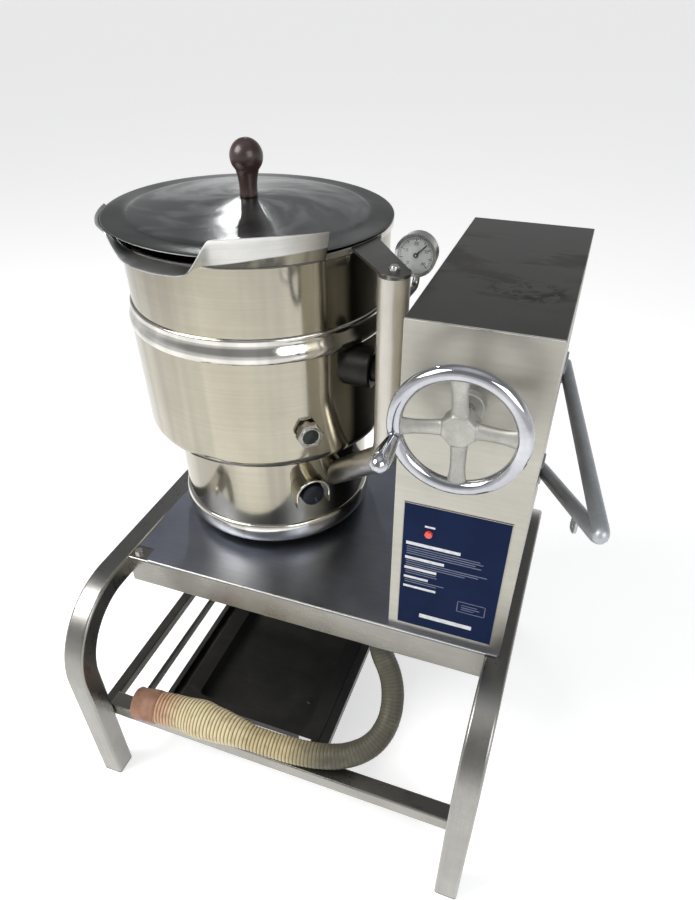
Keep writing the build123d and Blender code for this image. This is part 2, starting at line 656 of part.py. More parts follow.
SIGHT_A, SIGHT_Z = -48.9, 331.0
with BuildPart() as jacket_shell:
    with BuildSketch(TURN):
        with BuildLine():
            kr = JACKET_R - KNUCKLE
            kz = JACKET_Z + KNUCKLE
            s45 = sin(radians(45))
            Line((0, JACKET_Z), (kr, JACKET_Z))
            ThreePointArc((kr, JACKET_Z), (kr + KNUCKLE * s45, kz - KNUCKLE * s45), (JACKET_R, kz))
            Polyline((JACKET_R, kz), (JACKET_R, BAND_Z), (JACKET_R - WALL, BAND_Z), (JACKET_R - WALL, kz))
            ThreePointArc((JACKET_R - WALL, kz), (kr + (KNUCKLE - WALL) * s45, kz - (KNUCKLE - WALL) * s45),
                          (kr, JACKET_Z + WALL))
            Polyline((kr, JACKET_Z + WALL), (0, JACKET_Z + WALL), (0, JACKET_Z))
        make_face()
    revolve(axis=K_AXIS)
    with BuildSketch(radial(SIGHT_A, SIGHT_Z, 240)):
        Circle(14)
    extrude(amount=40, mode=Mode.SUBTRACT)
save(jacket_shell, "jacket_shell")

KNOB_A, KNOB_Z = -46.5, 164.0
with BuildPart() as base_skirt:
    with BuildSketch(up(KX, KY, SKIRT_Z)):
        Circle(SKIRT_R)
        Circle(SKIRT_R - 2.5, mode=Mode.SUBTRACT)
    extrude(amount=JACKET_Z - SKIRT_Z)
    with BuildSketch(radial(KNOB_A, KNOB_Z, 180)):
        Circle(4.05)
    extrude(amount=60, mode=Mode.SUBTRACT)
save(base_skirt, "base_skirt")

with BuildPart() as base_ring:
    with BuildSketch(TURN):
        with BuildLine():
            ThreePointArc((SKIRT_R, SKIRT_Z), (217, 43), (204, 19))
            Polyline((204, 19), (198, BASE_Z), (184, BASE_Z), (184, BASE_Z + 3), (197, BASE_Z + 3), (202, 21.5))
            ThreePointArc((202, 21.5), (214.5, 43), (SKIRT_R - 2.5, SKIRT_Z))
            Line((SKIRT_R - 2.5, SKIRT_Z), (SKIRT_R, SKIRT_Z))
        make_face()
    revolve(axis=K_AXIS)
    with BuildSketch(up(KX, KY, BASE_Z)):
        Circle(186)
    extrude(amount=3)
save(base_ring, "base_ring")

# sight glass: hexagon bezel round a dark glass
with BuildPart() as sight_glass_bezel:
    with BuildSketch(radial(SIGHT_A, SIGHT_Z, 245)):
        Circle(21)
    extrude(amount=24)
    with BuildSketch(radial(SIGHT_A, SIGHT_Z, 267)):
        RegularPolygon(26.5, 6)
    extrude(amount=12)
    chamfer(sight_glass_bezel.edges().filter_by(GeomType.LINE).filter_by(
        lambda e: abs((e.center() - P(KX, KY, SIGHT_Z)).dot(Vector(cos(radians(SIGHT_A)), sin(radians(SIGHT_A)), 0)) - 279) < 0.1), 1.5)
    with BuildSketch(up(KX, KY, 200)):
        Circle(JACKET_R)
    extrude(amount=250, mode=Mode.SUBTRACT)
    with BuildSketch(radial(SIGHT_A, SIGHT_Z, 240)):
        Circle(14)
    extrude(amount=60, mode=Mode.SUBTRACT)
save(sight_glass_bezel, "sight_glass_bezel")

with BuildPart() as sight_glass:
    with BuildSketch(radial(SIGHT_A, SIGHT_Z, 271)):
        Circle(14)
    extrude(amount=4)
save(sight_glass, "sight_glass")

# thermostat knob with its spindle, and the hood that guards it
with BuildPart() as thermostat_knob:
    with BuildSketch(radial(KNOB_A, KNOB_Z, 213)):
        Circle(22)
    extrude(amount=26)
    fillet(thermostat_knob.edges().filter_by(GeomType.CIRCLE).sort_by(
        lambda e: (e.center() - P(KX, KY, KNOB_Z)).length)[-1:], 3)
    with BuildSketch(radial(KNOB_A, KNOB_Z, 236)):
        Rectangle(6, 36)
    extrude(amount=8)
    with BuildSketch(radial(KNOB_A, KNOB_Z, 188)):
        Circle(4)
    extrude(amount=26)
save(thermostat_knob, "thermostat_knob")

with BuildPart() as knob_guard:
    with BuildSketch(radial(KNOB_A, KNOB_Z, 195)):
        with BuildLine():
            Line((-36, -26), (-36, 0))
            ThreePointArc((-36, 0), (0, 36), (36, 0))
            Polyline((36, 0), (36, -26), (33, -26), (33, 0))
            ThreePointArc((33, 0), (0, 33), (-33, 0))
            Polyline((-33, 0), (-33, -26), (-36, -26))
        make_face()
    extrude(amount=50)
    with BuildSketch(up(KX, KY, 60)):
        Circle(SKIRT_R)
    extrude(amount=190, mode=Mode.SUBTRACT)
save(knob_guard, "knob_guard")

# wide tube from the heater housing up to the rim strap
TUBE_R = 25.4
TUBE_X, TUBE_Y = -50.0, 118.0
tube_pts = [P(-229, 250, 130), P(TUBE_X, TUBE_Y, 313), P(TUBE_X, TUBE_Y, 650)]
with BuildPart() as side_tube:
    with BuildLine() as tube_route:
        FilletPolyline(*tube_pts, radius=72)
    with BuildSketch(Plane(origin=tube_pts[0], z_dir=(tube_pts[1] - tube_pts[0]).normalized())):
        Circle(TUBE_R)
        Circle(TUBE_R - 2, mode=Mode.SUBTRACT)
    sweep(path=tube_route.wires()[0])
    with BuildSketch(up(TUBE_X, TUBE_Y, 646)):
        Circle(TUBE_R - 1)
    extrude(amount=4)
    with BuildSketch(up(KX, KY, 40)):
        Circle(SKIRT_R)
    extrude(amount=206, mode=Mode.SUBTRACT)
save(side_tube, "side_tube")

# flat strap from the rim to the top of the tube
with BuildPart() as tube_strap:
    with BuildSketch(up(KX, KY, 650)):
        with BuildLine():
            Polyline((249, -44), (350, -184), (339, -212), (312, -211), (222, -106), (200, -60), close=True)
        make_face()
        with Locations((332, -194)):
            Circle(22)
        Circle(RIM_R, mode=Mode.SUBTRACT)
        with Locations((TUBE_X - KX, TUBE_Y - KY)):
            Circle(4, mode=Mode.SUBTRACT)
    extrude(amount=5)
save(tube_strap, "tube_strap")

with BuildPart() as strap_bolt:
    with BuildSketch(up(TUBE_X, TUBE_Y, 655)):
        RegularPolygon(9.5, 6)
    extrude(amount=6)
    with BuildSketch(up(TUBE_X, TUBE_Y, 661)):
        Circle(7)
    extrude(amount=4)
    fillet(strap_bolt.faces().sort_by(Axis.Z)[-1].edges(), 3)
    with BuildSketch(up(TUBE_X, TUBE_Y, 650)):
        Circle(4)
    extrude(amount=5)
save(strap_bolt, "strap_bolt")

# pressure gauge facing forward behind the strap, on a bent stem
GX, GY, GZ, GR = -44.0, 215.0, 647.0, 35.0
with BuildPart() as gauge_case:
    with BuildSketch(along_y(GX, GY + 28, GZ)):
        Circle(GR - 2)
    extrude(amount=26)
    with BuildSketch(along_y(GX, GY + 8, GZ)):
        Circle(GR)
    extrude(amount=8)
    with BuildSketch(along_y(GX, GY + 6, GZ)):
        Circle(GR - 5)
    extrude(amount=6, mode=Mode.SUBTRACT)
    with BuildLine() as stem_route:
        FilletPolyline(P(GX, GY + 16, GZ - 30), P(GX, GY + 16, 592), P(TUBE_X, TUBE_Y, 592), radius=14)
    with BuildSketch(Plane(origin=P(GX, GY + 16, GZ - 30), z_dir=(0, 0, -1))):
        Circle(6)
    sweep(path=stem_route.wires()[0])
    with BuildSketch(up(TUBE_X, TUBE_Y, 560)):
        Circle(TUBE_R)
    extrude(amount=60, mode=Mode.SUBTRACT)
save(gauge_case, "gauge_case")

with BuildPart() as gauge_dial:
    with BuildSketch(along_y(GX, GY + 6, GZ)):
        Circle(GR - 5)
    extrude(amount=1.2)
    with BuildSketch(along_y(GX, GY + 4.8, GZ)):
        Circle(1.5)
    extrude(amount=2.4)
save(gauge_dial, "gauge_dial")

with BuildPart() as gauge_needle:
    with BuildSketch(along_y(GX, GY + 4.0, GZ)):
        Circle(4)
        with Locations(Location((8.5, 8.5, 0), (0, 0, 45))):
            Rectangle(26, 2.2)
        Circle(1.55, mode=Mode.SUBTRACT)
    extrude(amount=1.0)
save(gauge_needle, "gauge_needle")

with BuildPart() as gauge_lens:
    with BuildSketch(along_y(GX, GY + 2.0, GZ)):
        Circle(GR - 5)
    extrude(amount=1.8)
save(gauge_lens, "gauge_lens")

# safety valve on the jacket's back, with its lifting lever
SV_A, SV_Z, SV_R = 55.0, 420.0, 282.0
sva, svb = cos(radians(SV_A)), sin(radians(SV_A))
SVX, SVY = KX + SV_R * sva, KY + SV_R * svb
with BuildPart() as safety_valve:
    with BuildSketch(radial(SV_A, SV_Z, 250)):
        Circle(10)
    extrude(amount=32)
    with BuildSketch(up(SVX, SVY, SV_Z - 14)):
        RegularPolygon(18, 6)
    extrude(amount=30)
    with BuildSketch(up(SVX, SVY, SV_Z + 16)):
        Circle(13)
    extrude(amount=30)
    with BuildSketch(up(SVX, SVY, SV_Z + 46)):
        Circle(4)
    extrude(amount=12)
    # post that carries the lever's pivot
    with BuildSketch(up(SVX + 9 * svb, SVY - 9 * sva, SV_Z + 46)):
        Circle(3)
    extrude(amount=12)
    with BuildSketch(up(KX, KY, SV_Z - 40)):
        Circle(JACKET_R)
    extrude(amount=90, mode=Mode.SUBTRACT)
save(safety_valve, "safety_valve")

with BuildPart() as safety_valve_lever:
    with BuildSketch(Plane(origin=P(SVX, SVY, SV_Z + 58.5), x_dir=(-svb, sva, 0), z_dir=(0, 0, 1))):
        with Locations((16, 0)):
            SlotOverall(52, 14)
    extrude(amount=3)
save(safety_valve_lever, "safety_valve_lever")

# trunnion: boss on the jacket, shaft into the console, worm wheel on the shaft
with BuildPart() as trunnion_boss:
    with BuildSketch(along_x(-200, TY, TZ)):
        Circle(38)
    extrude(amount=95)
    with BuildSketch(up(KX, KY, 380)):
        Circle(JACKET_R)
    extrude(amount=120, mode=Mode.SUBTRACT)
    fillet(trunnion_boss.faces().sort_by(Axis.X)[-1].edges(), 5)
save(trunnion_boss, "trunnion_boss")

with BuildPart() as trunnion_shaft:
    with BuildSketch(along_x(-105, TY, TZ)):
        Circle(25)
        Circle(17, mode=Mode.SUBTRACT)
    extrude(amount=273)
save(trunnion_shaft, "trunnion_shaft")

with BuildPart() as worm_wheel:
    with BuildSketch(along_x(WX - 13, TY, TZ)):
        Circle(62.5)
        Circle(25, mode=Mode.SUBTRACT)
        with PolarLocations(62.5, 40):
            Rectangle(9, 4.6, mode=Mode.SUBTRACT)
    extrude(amount=26)
save(worm_wheel, "worm_wheel")

# -------------------------------------------------------------------- the lid
with BuildPart() as lid:
    with BuildSketch(LID_TURN):
        with BuildLine():
            Polyline((0, LID_RISE), (17, LID_RISE), (221, 4), (228, 1.2), (LID_R - 2, 0), (LID_R, -1),
                     (LID_R, -2.6), (LID_R - 1.5, -2.6), (LID_R - 2.5, -1.8), (229, -0.6), (221, 2),
                     (17, LID_RISE - 2), (0, LID_RISE - 2), close=True)
        make_face()
    revolve(axis=L_AXIS)
save(lid, "lid")

with BuildPart() as lid_knob:
    with BuildSketch(LID_TURN):
        with BuildLine():
            Polyline((0, LID_RISE), (16, LID_RISE), (16.8, LID_RISE + 2), (16.6, LID_RISE + 18), (18, LID_RISE + 32),
                     (20.6, LID_RISE + 44), (20.6, LID_RISE + 53), (0, LID_RISE + 53), (0, LID_RISE))
        make_face()
    revolve(axis=L_AXIS)
    with Locations(Location(P(LID_X, LID_Y, LID_Z) + LID_UP * 88)):
        Sphere(30)
save(lid_knob, "lid_knob")

print("nodes", len(os.listdir("parts")))
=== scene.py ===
import bpy, bmesh, math, random
from math import sin, cos, pi, radians, sqrt, atan2
from mathutils import Vector, Matrix, noise


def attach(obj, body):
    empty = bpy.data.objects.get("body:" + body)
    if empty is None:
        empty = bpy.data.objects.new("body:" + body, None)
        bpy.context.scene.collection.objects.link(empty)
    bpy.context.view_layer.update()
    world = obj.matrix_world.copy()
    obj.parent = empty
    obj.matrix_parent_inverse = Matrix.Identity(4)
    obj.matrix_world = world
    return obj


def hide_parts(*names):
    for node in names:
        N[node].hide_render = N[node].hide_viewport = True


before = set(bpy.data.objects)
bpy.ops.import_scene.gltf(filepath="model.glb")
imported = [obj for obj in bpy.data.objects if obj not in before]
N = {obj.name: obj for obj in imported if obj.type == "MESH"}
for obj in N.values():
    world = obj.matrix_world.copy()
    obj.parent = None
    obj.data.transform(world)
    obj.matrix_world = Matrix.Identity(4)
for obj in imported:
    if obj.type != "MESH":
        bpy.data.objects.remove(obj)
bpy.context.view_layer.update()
scene = bpy.context.scene

# working positions are millimetres from the console's lower front left corner
# on the deck, as in the CAD; the row frame has its origin on the floor
OX, OY, OZ = 154.8, -175.0, 545.0


def P(x, y, z):
    return Vector(((x + OX) / 1000, (y + OY) / 1000, (z + OZ) / 1000))


# ------------------------------------------------------------- node helpers
class Nodes:
    def __init__(self, name):
        self.mat = bpy.data.materials.new(name)
        self.mat.use_nodes = True
        self.t = self.mat.node_tree
        self.t.nodes.clear()
        self.out = self.t.nodes.new("ShaderNodeOutputMaterial")
        self.b = self.t.nodes.new("ShaderNodeBsdfPrincipled")
        self.t.links.new(self.b.outputs[0], self.out.inputs[0])
        self.co = self.t.nodes.new("ShaderNodeTexCoord").outputs["Object"]

    def add(self, kind, **props):
        n = self.t.nodes.new(kind)
        for k, v in props.items():
            setattr(n, k, v)
        return n

    def put(self, socket, value):
        if isinstance(value, bpy.types.NodeSocket):
            self.t.links.new(value, socket)
        elif isinstance(value, (tuple, list)) and len(value) == 3 and socket.type == "RGBA":
            socket.default_value = (*value, 1)
        else:
            socket.default_value = value

    def mapping(self, scale=(1, 1, 1), rot=(0, 0, 0), loc=(0, 0, 0), src=None):
        n = self.add("ShaderNodeMapping")
        self.put(n.inputs["Vector"], src or self.co)
        n.inputs["Scale"].default_value = scale
        n.inputs["Rotation"].default_value = rot
        n.inputs["Location"].default_value = loc
        return n.outputs[0]

    def noise(self, vec, scale=5.0, detail=4.0, rough=0.55, distort=0.0):
        n = self.add("ShaderNodeTexNoise")
        self.put(n.inputs["Vector"], vec)
        n.inputs["Scale"].default_value = scale
        n.inputs["Detail"].default_value = detail
        n.inputs["Roughness"].default_value = rough
        n.inputs["Distortion"].default_value = distort
        return n.outputs["Fac"]

    def span(self, value, a, b, c=0.0, d=1.0, smooth=False):
        n = self.add("ShaderNodeMapRange")
        if smooth:
            n.interpolation_type = "SMOOTHSTEP"
        self.put(n.inputs["Value"], value)
        n.inputs["From Min"].default_value = a
        n.inputs["From Max"].default_value = b
        n.inputs["To Min"].default_value = c
        n.inputs["To Max"].default_value = d
        return n.outputs["Result"]

    def math(self, op, a, b=0.0):
        n = self.add("ShaderNodeMath", operation=op)
        self.put(n.inputs[0], a)
        self.put(n.inputs[1], b)
        return n.outputs[0]

    def mix(self, fac, a, b, mode="MIX"):
        n = self.add("ShaderNodeMix", data_type="RGBA", blend_type=mode)
        self.put(n.inputs["Factor"], fac)
        self.put(n.inputs["A"], a)
        self.put(n.inputs["B"], b)
        return n.outputs["Result"]

    def xyz(self, src=None):
        n = self.add("ShaderNodeSeparateXYZ")
        self.put(n.inputs[0], src or self.co)
        return n.outputs

    def bump(self, height, strength=0.2, distance=0.001, chain=None):
        n = self.add("ShaderNodeBump")
        n.inputs["Strength"].default_value = strength
        n.inputs["Distance"].default_value = distance
        self.put(n.inputs["Height"], height)
        if chain is not None:
            self.put(n.inputs["Normal"], chain)
        return n.outputs[0]

    def set(self, **values):
        for k, v in values.items():
            self.put(self.b.inputs[k.replace("_", " ")], v)
        return self.mat


def steel(name, light, dark, rough=0.25, rough_amp=0.1, grain=(3, 3, 300), grain_bump=0.08, blotch=6.0,
          blotch_lo=0.35, blotch_hi=0.7, metallic=1.0, aniso=0.0, tangent=None, spots=None, painted_reflection_bands=None, painted_top_shade=None):
    """stainless steel: broad tone changes, fine brush lines, smudges in the gloss"""
    m = Nodes(name)
    broad = m.noise(m.co, blotch, 5, 0.6)
    tone = m.span(broad, blotch_lo, blotch_hi)
    lines = m.noise(m.mapping(grain), 1.0, 3, 0.6)
    col = m.mix(tone, dark, light)
    col = m.mix(m.span(lines, 0.3, 0.7, 0.0, 0.22), col, tuple(c * 0.72 for c in dark))
    # painted reflection: darker vertical bands mixed into the colour, for dark surroundings seen in the polish
    if painted_reflection_bands:
        band = m.noise(m.mapping(painted_reflection_bands[0]), 1.0, 2, 0.5)
        col = m.mix(m.span(band, 0.42, 0.62, 0.0, painted_reflection_bands[2]), col, painted_reflection_bands[1])
    if painted_top_shade:
        # painted shade: faces that look straight up get a darker colour, for the way the light falls on them
        up = m.xyz(m.add("ShaderNodeNewGeometry").outputs["Normal"])[2]
        col = m.mix(m.span(up, 0.90, 0.985, smooth=True), col, painted_top_shade)
    if spots:
        dirt = m.noise(m.mapping((1, 1, 1), loc=(3.1, 1.7, 0.4)), spots[0], 6, 0.65, 0.6)
        mask = m.span(dirt, spots[1], spots[2], smooth=True)
        col = m.mix(m.math("MULTIPLY", mask, spots[4]), col, spots[3])
    smudge = m.noise(m.mapping((1, 1, 1), loc=(7.3, 2.1, 5.5)), blotch * 3.1, 5, 0.65)
    r = m.span(smudge, 0.3, 0.7, rough - rough_amp / 2, rough + rough_amp / 2)
    r = m.math("ADD", r, m.span(lines, 0.3, 0.7, -rough_amp * 0.3, rough_amp * 0.3))
    m.set(Base_Color=col, Metallic=metallic, Roughness=r, Normal=m.bump(lines, grain_bump, 0.0004))
    if aniso:
        m.b.inputs["Anisotropic"].default_value = aniso
        if tangent == "turned":
            t = m.add("ShaderNodeTangent", direction_type="RADIAL", axis="Z")
            m.put(m.b.inputs["Tangent"], t.outputs[0])
        elif tangent:
            t = m.add("ShaderNodeVectorTransform", vector_type="VECTOR", convert_from="OBJECT", convert_to="WORLD")
            t.inputs[0].default_value = tangent
            m.put(m.b.inputs["Tangent"], t.outputs[0])
    return m.mat


def plastic(name, a, b, rough=0.4, scale=30.0, bump=0.05, coat=0.0, spec=0.5, rough_amp=0.1):
    m = Nodes(name)
    n = m.noise(m.co, scale, 5, 0.6)
    fine = m.noise(m.mapping((1, 1, 1), loc=(1, 2, 3)), scale * 25, 3, 0.6)
    r = m.span(n, 0.3, 0.7, rough - rough_amp / 2, rough + rough_amp / 2)
    m.set(Base_Color=m.mix(m.span(n, 0.35, 0.65), a, b), Roughness=r, Normal=m.bump(fine, bump, 0.0005))
    m.b.inputs["Specular IOR Level"].default_value = spec
    if coat:
        m.b.inputs["Coat Weight"].default_value = coat
        m.b.inputs["Coat Roughness"].default_value = 0.08
    return m.mat


# ---------------------------------------------------------------- materials
WARM, WARM_D = (0.465, 0.436, 0.360), (0.365, 0.337, 0.265)
M = {}
# polished kettle steel: the warm beige tint and the darker vertical bands are painted reflection; the turned parts
# carry the same painted reflection bands
M["polish"] = steel("polished_steel", WARM, WARM_D, 0.12, 0.06, (2, 2, 260), 0.01, 4.0,
                    painted_reflection_bands=((16, 16, 0.5), (0.25, 0.235, 0.20), 0.65))
M["polish_turned"] = steel("polished_turned", (0.80, 0.78, 0.74), (0.62, 0.60, 0.56), 0.12, 0.05, (2, 2, 320), 0.01, 5.0,
                           painted_reflection_bands=((18, 18, 1.0), (0.30, 0.29, 0.26), 0.5))
M["wing"] = steel("brushed_wing", (0.80, 0.80, 0.79), (0.66, 0.66, 0.65), 0.34, 0.1, (5, 5, 380), 0.12, 9.0)
M["front"] = steel("brushed_front", (0.49, 0.475, 0.43), (0.40, 0.385, 0.34), 0.38, 0.06, (3, 3, 170), 0.0, 4.0,
                   aniso=0.5, tangent=(1, 0, 0))
M["side"] = steel("brushed_side", (0.40, 0.38, 0.35), (0.30, 0.275, 0.245), 0.36, 0.08, (3, 3, 170), 0.0, 6.0,
                  spots=(16, 0.56, 0.72, (0.20, 0.13, 0.09), 0.5))


def painted_shade_side_material():
    """the cabinet's side next to the kettle: bare steel near the front, painted shade further back, a near-black colour
    where the side faces the kettle
    """
    m = Nodes("brushed_side_painted_shade")
    x, y, z = m.xyz()
    lines = m.noise(m.mapping((2.5, 2.5, 420)), 1.0, 3, 0.6)
    broad = m.noise(m.co, 7.0, 5, 0.6)
    edge = m.math("ADD", m.span(y, P(0, 215, 0).y, P(0, 262, 0).y, smooth=True), m.span(broad, 0.3, 0.7, -0.08, 0.08))
    bare_steel_front = m.mix(m.span(broad, 0.35, 0.7), (0.50, 0.475, 0.40), (0.60, 0.57, 0.49))
    # painted shade: near-black colour for the rear of this side, which lies in shade
    painted_shade_rear = m.mix(m.span(broad, 0.35, 0.7), (0.035, 0.033, 0.03), (0.06, 0.057, 0.052))
    col = m.mix(m.span(edge, 0.0, 1.0), bare_steel_front, painted_shade_rear)
    col = m.mix(m.span(lines, 0.3, 0.7, 0.0, 0.15), col, (0.2, 0.19, 0.17))
    m.set(Base_Color=col, Metallic=m.span(edge, 0.0, 1.0, 0.45, 0.9), Roughness=m.span(broad, 0.3, 0.7, 0.30, 0.40),
          Normal=m.bump(lines, 0.03, 0.0004))
    return m.mat


M["shade"] = painted_shade_side_material()
M["top"] = steel("dark_top", (0.215, 0.21, 0.20), (0.16, 0.157, 0.15), 0.36, 0.12, (420, 3, 3), 0.08, 4.0)
# the frame steels darken their upward faces with painted shade
M["frame"] = steel("frame_steel", (0.36, 0.355, 0.335), (0.28, 0.275, 0.255), 0.30, 0.08, (160, 160, 6), 0.015, 6.0,
                   painted_top_shade=(0.20, 0.198, 0.192))
M["frame_x"] = steel("frame_steel_cross", (0.36, 0.35, 0.325), (0.28, 0.27, 0.245), 0.30, 0.10, (6, 240, 240), 0.015, 6.0,
                     painted_top_shade=(0.20, 0.195, 0.18))
# near-white edge steel: rubbing wear plus a painted highlight
M["edge"] = steel("rubbed_edge_painted_highlight", (0.86, 0.85, 0.82), (0.72, 0.71, 0.68), 0.30, 0.1, (6, 240, 240), 0.05, 7.0)
M["deck"] = steel("deck_steel", (0.30, 0.322, 0.38), (0.21, 0.226, 0.272), 0.36, 0.10, (4, 300, 4), 0.015, 3.5)
M["slide"] = steel("slide_steel", (0.115, 0.11, 0.10), (0.07, 0.068, 0.062), 0.36, 0.12, (240, 5, 240), 0.08, 9.0)
# painted shade: the pan is near black for the shadow under the deck; the lighter spots are stains
M["pan"] = steel("stained_pan_painted_shade", (0.050, 0.048, 0.044), (0.030, 0.029, 0.027), 0.46, 0.14, (5, 200, 5), 0.06, 8.0,
                 metallic=0.8, spots=(20, 0.6, 0.72, (0.085, 0.08, 0.07), 0.3))
M["strap"] = steel("dark_strap", (0.17, 0.165, 0.16), (0.115, 0.112, 0.108), 0.34, 0.1, (200, 200, 5), 0.06, 9.0)
M["tube"] = steel("satin_tube", (0.62, 0.595, 0.545), (0.50, 0.475, 0.43), 0.34, 0.08, (90, 90, 4), 0.015, 7.0)
M["hex"] = steel("satin_fitting", (0.42, 0.405, 0.37), (0.30, 0.29, 0.265), 0.28, 0.08, (90, 90, 90), 0.02, 12.0)
# painted shade: the trunnion boss and shaft are near black, for the shade between the kettle and the side tube
M["boss"] = steel("painted_shade_boss", (0.040, 0.039, 0.036), (0.025, 0.024, 0.022), 0.42, 0.1, (90, 90, 90), 0.02, 12.0)
M["chrome"] = steel("chrome_plate", (0.60, 0.605, 0.635), (0.40, 0.41, 0.44), 0.10, 0.06, (30, 30, 30), 0.0, 14.0)
M["cast"] = steel("cast_spider", (0.50, 0.495, 0.46), (0.36, 0.355, 0.33), 0.50, 0.14, (420, 420, 420), 0.40, 34.0, metallic=0.8)
M["bracket"] = steel("bracket_tube", (0.46, 0.485, 0.51), (0.36, 0.38, 0.40), 0.46, 0.12, (90, 90, 90), 0.03, 14.0, metallic=0.7)
M["machined"] = steel("machined_steel", (0.58, 0.58, 0.57), (0.44, 0.44, 0.43), 0.24, 0.1, (120, 120, 120), 0.04, 18.0)
M["brass"] = steel("brass", (0.62, 0.48, 0.24), (0.44, 0.33, 0.16), 0.30, 0.14, (80, 80, 80), 0.06, 22.0)
M["black"] = plastic("black_plastic", (0.012, 0.014, 0.022), (0.007, 0.008, 0.013), 0.40, 40, 0.03, spec=0.25)
M["feet"] = plastic("feet_plastic", (0.16, 0.155, 0.14), (0.10, 0.10, 0.09), 0.55, 40, 0.1)
M["brown"] = plastic("brown_knob", (0.040, 0.017, 0.014), (0.022, 0.010, 0.009), 0.36, 40, 0.02, coat=0.25)
M["red"] = plastic("red_lens", (0.72, 0.075, 0.04), (0.55, 0.04, 0.025), 0.25, 60, 0.02, coat=0.6)
M["blue"] = plastic("label_blue", (0.0016, 0.0095, 0.044), (0.0012, 0.0075, 0.035), 0.55, 12, 0.0, spec=0.10)
M["print"] = plastic("label_print", (0.62, 0.63, 0.64), (0.46, 0.47, 0.49), 0.5, 90, 0.02)
M["print_dim"] = plastic("label_print_dim", (0.11, 0.13, 0.20), (0.07, 0.085, 0.14), 0.5, 90, 0.02)
M["dial"] = plastic("dial_white", (0.74, 0.75, 0.74), (0.66, 0.67, 0.66), 0.5, 60, 0.01)
M["ink"] = plastic("dial_ink", (0.02, 0.02, 0.022), (0.035, 0.035, 0.035), 0.5, 60, 0.01)
M["cuff"] = plastic("cuff_rubber", (0.30, 0.155, 0.095), (0.20, 0.10, 0.062), 0.62, 45, 0.25, rough_amp=0.2)


def glass(name, tint, rough=0.02):
    m = Nodes(name)
    n = m.noise(m.co, 60, 3, 0.5)
    m.set(Base_Color=tint, Roughness=m.span(n, 0.3, 0.7, rough, rough + 0.03))
    m.b.inputs["Transmission Weight"].default_value = 1.0
    m.b.inputs["IOR"].default_value = 1.45
    return m.mat


M["glass"] = glass("clear_glass", (0.96, 0.97, 0.97))
M["sight"] = plastic("sight_glass_dark", (0.020, 0.026, 0.024), (0.010, 0.014, 0.013), 0.22, 50, 0.0, spec=0.25)


def lid_material(centre):
    """dull dark steel, wiped round and round: curved streaks, a duller flange"""
    m = Nodes("dark_lid")
    x, y, z = m.xyz()
    dx = m.math("SUBTRACT", x, centre.x)
    dy = m.math("SUBTRACT", y, centre.y)
    flat = m.add("ShaderNodeCombineXYZ")
    m.put(flat.inputs[0], dx)
    m.put(flat.inputs[1], dy)
    size = m.add("ShaderNodeVectorMath", operation="LENGTH")
    m.put(size.inputs[0], flat.outputs[0])
    r = size.outputs["Value"]
    unit = m.add("ShaderNodeVectorMath", operation="NORMALIZE")
    m.put(unit.inputs[0], flat.outputs[0])
    # the streaks bend forward with the radius, like wiping marks
    turn = m.add("ShaderNodeVectorRotate", rotation_type="Z_AXIS")
    m.put(turn.inputs["Vector"], unit.outputs[0])
    m.put(turn.inputs["Angle"], m.math("MULTIPLY", r, 5.5))
    deep = m.add("ShaderNodeCombineXYZ")
    m.put(deep.inputs[2], m.math("MULTIPLY", r, 7.0))
    both = m.add("ShaderNodeVectorMath", operation="ADD")
    m.put(both.inputs[0], turn.outputs[0])
    m.put(both.inputs[1], deep.outputs[0])
    swirl = m.noise(both.outputs[0], 2.1, 3, 0.5, 0.5)
    rings = m.add("ShaderNodeCombineXYZ")
    m.put(rings.inputs[0], m.math("MULTIPLY", r, 900.0))
    fine = m.noise(rings.outputs[0], 1.0, 3, 0.6)
    broad = m.noise(m.co, 3.0, 4, 0.6)
    col = m.mix(m.span(swirl, 0.38, 0.66, smooth=True), (0.14, 0.147, 0.15), (0.33, 0.34, 0.345))
    col = m.mix(m.span(broad, 0.35, 0.7, 0, 0.45), col, (0.20, 0.205, 0.205))
    col = m.mix(m.span(fine, 0.3, 0.7, 0.0, 0.2), col, (0.10, 0.10, 0.10))
    flange = m.span(r, 0.221, 0.227)
    col = m.mix(m.math("MULTIPLY", flange, 0.75), col, (0.115, 0.12, 0.117))
    rough = m.math("ADD", m.span(swirl, 0.3, 0.7, 0.27, 0.20), m.math("MULTIPLY", flange, 0.08))
    m.set(Base_Color=col, Metallic=1.0, Roughness=rough, Normal=m.bump(swirl, 0.10, 0.002, m.bump(fine, 0.05, 0.0003)))
    m.b.inputs["Anisotropic"].default_value = 0.9
    t = m.add("ShaderNodeTangent", direction_type="RADIAL", axis="Z")
    m.put(m.b.inputs["Tangent"], t.outputs[0])
    return m.mat


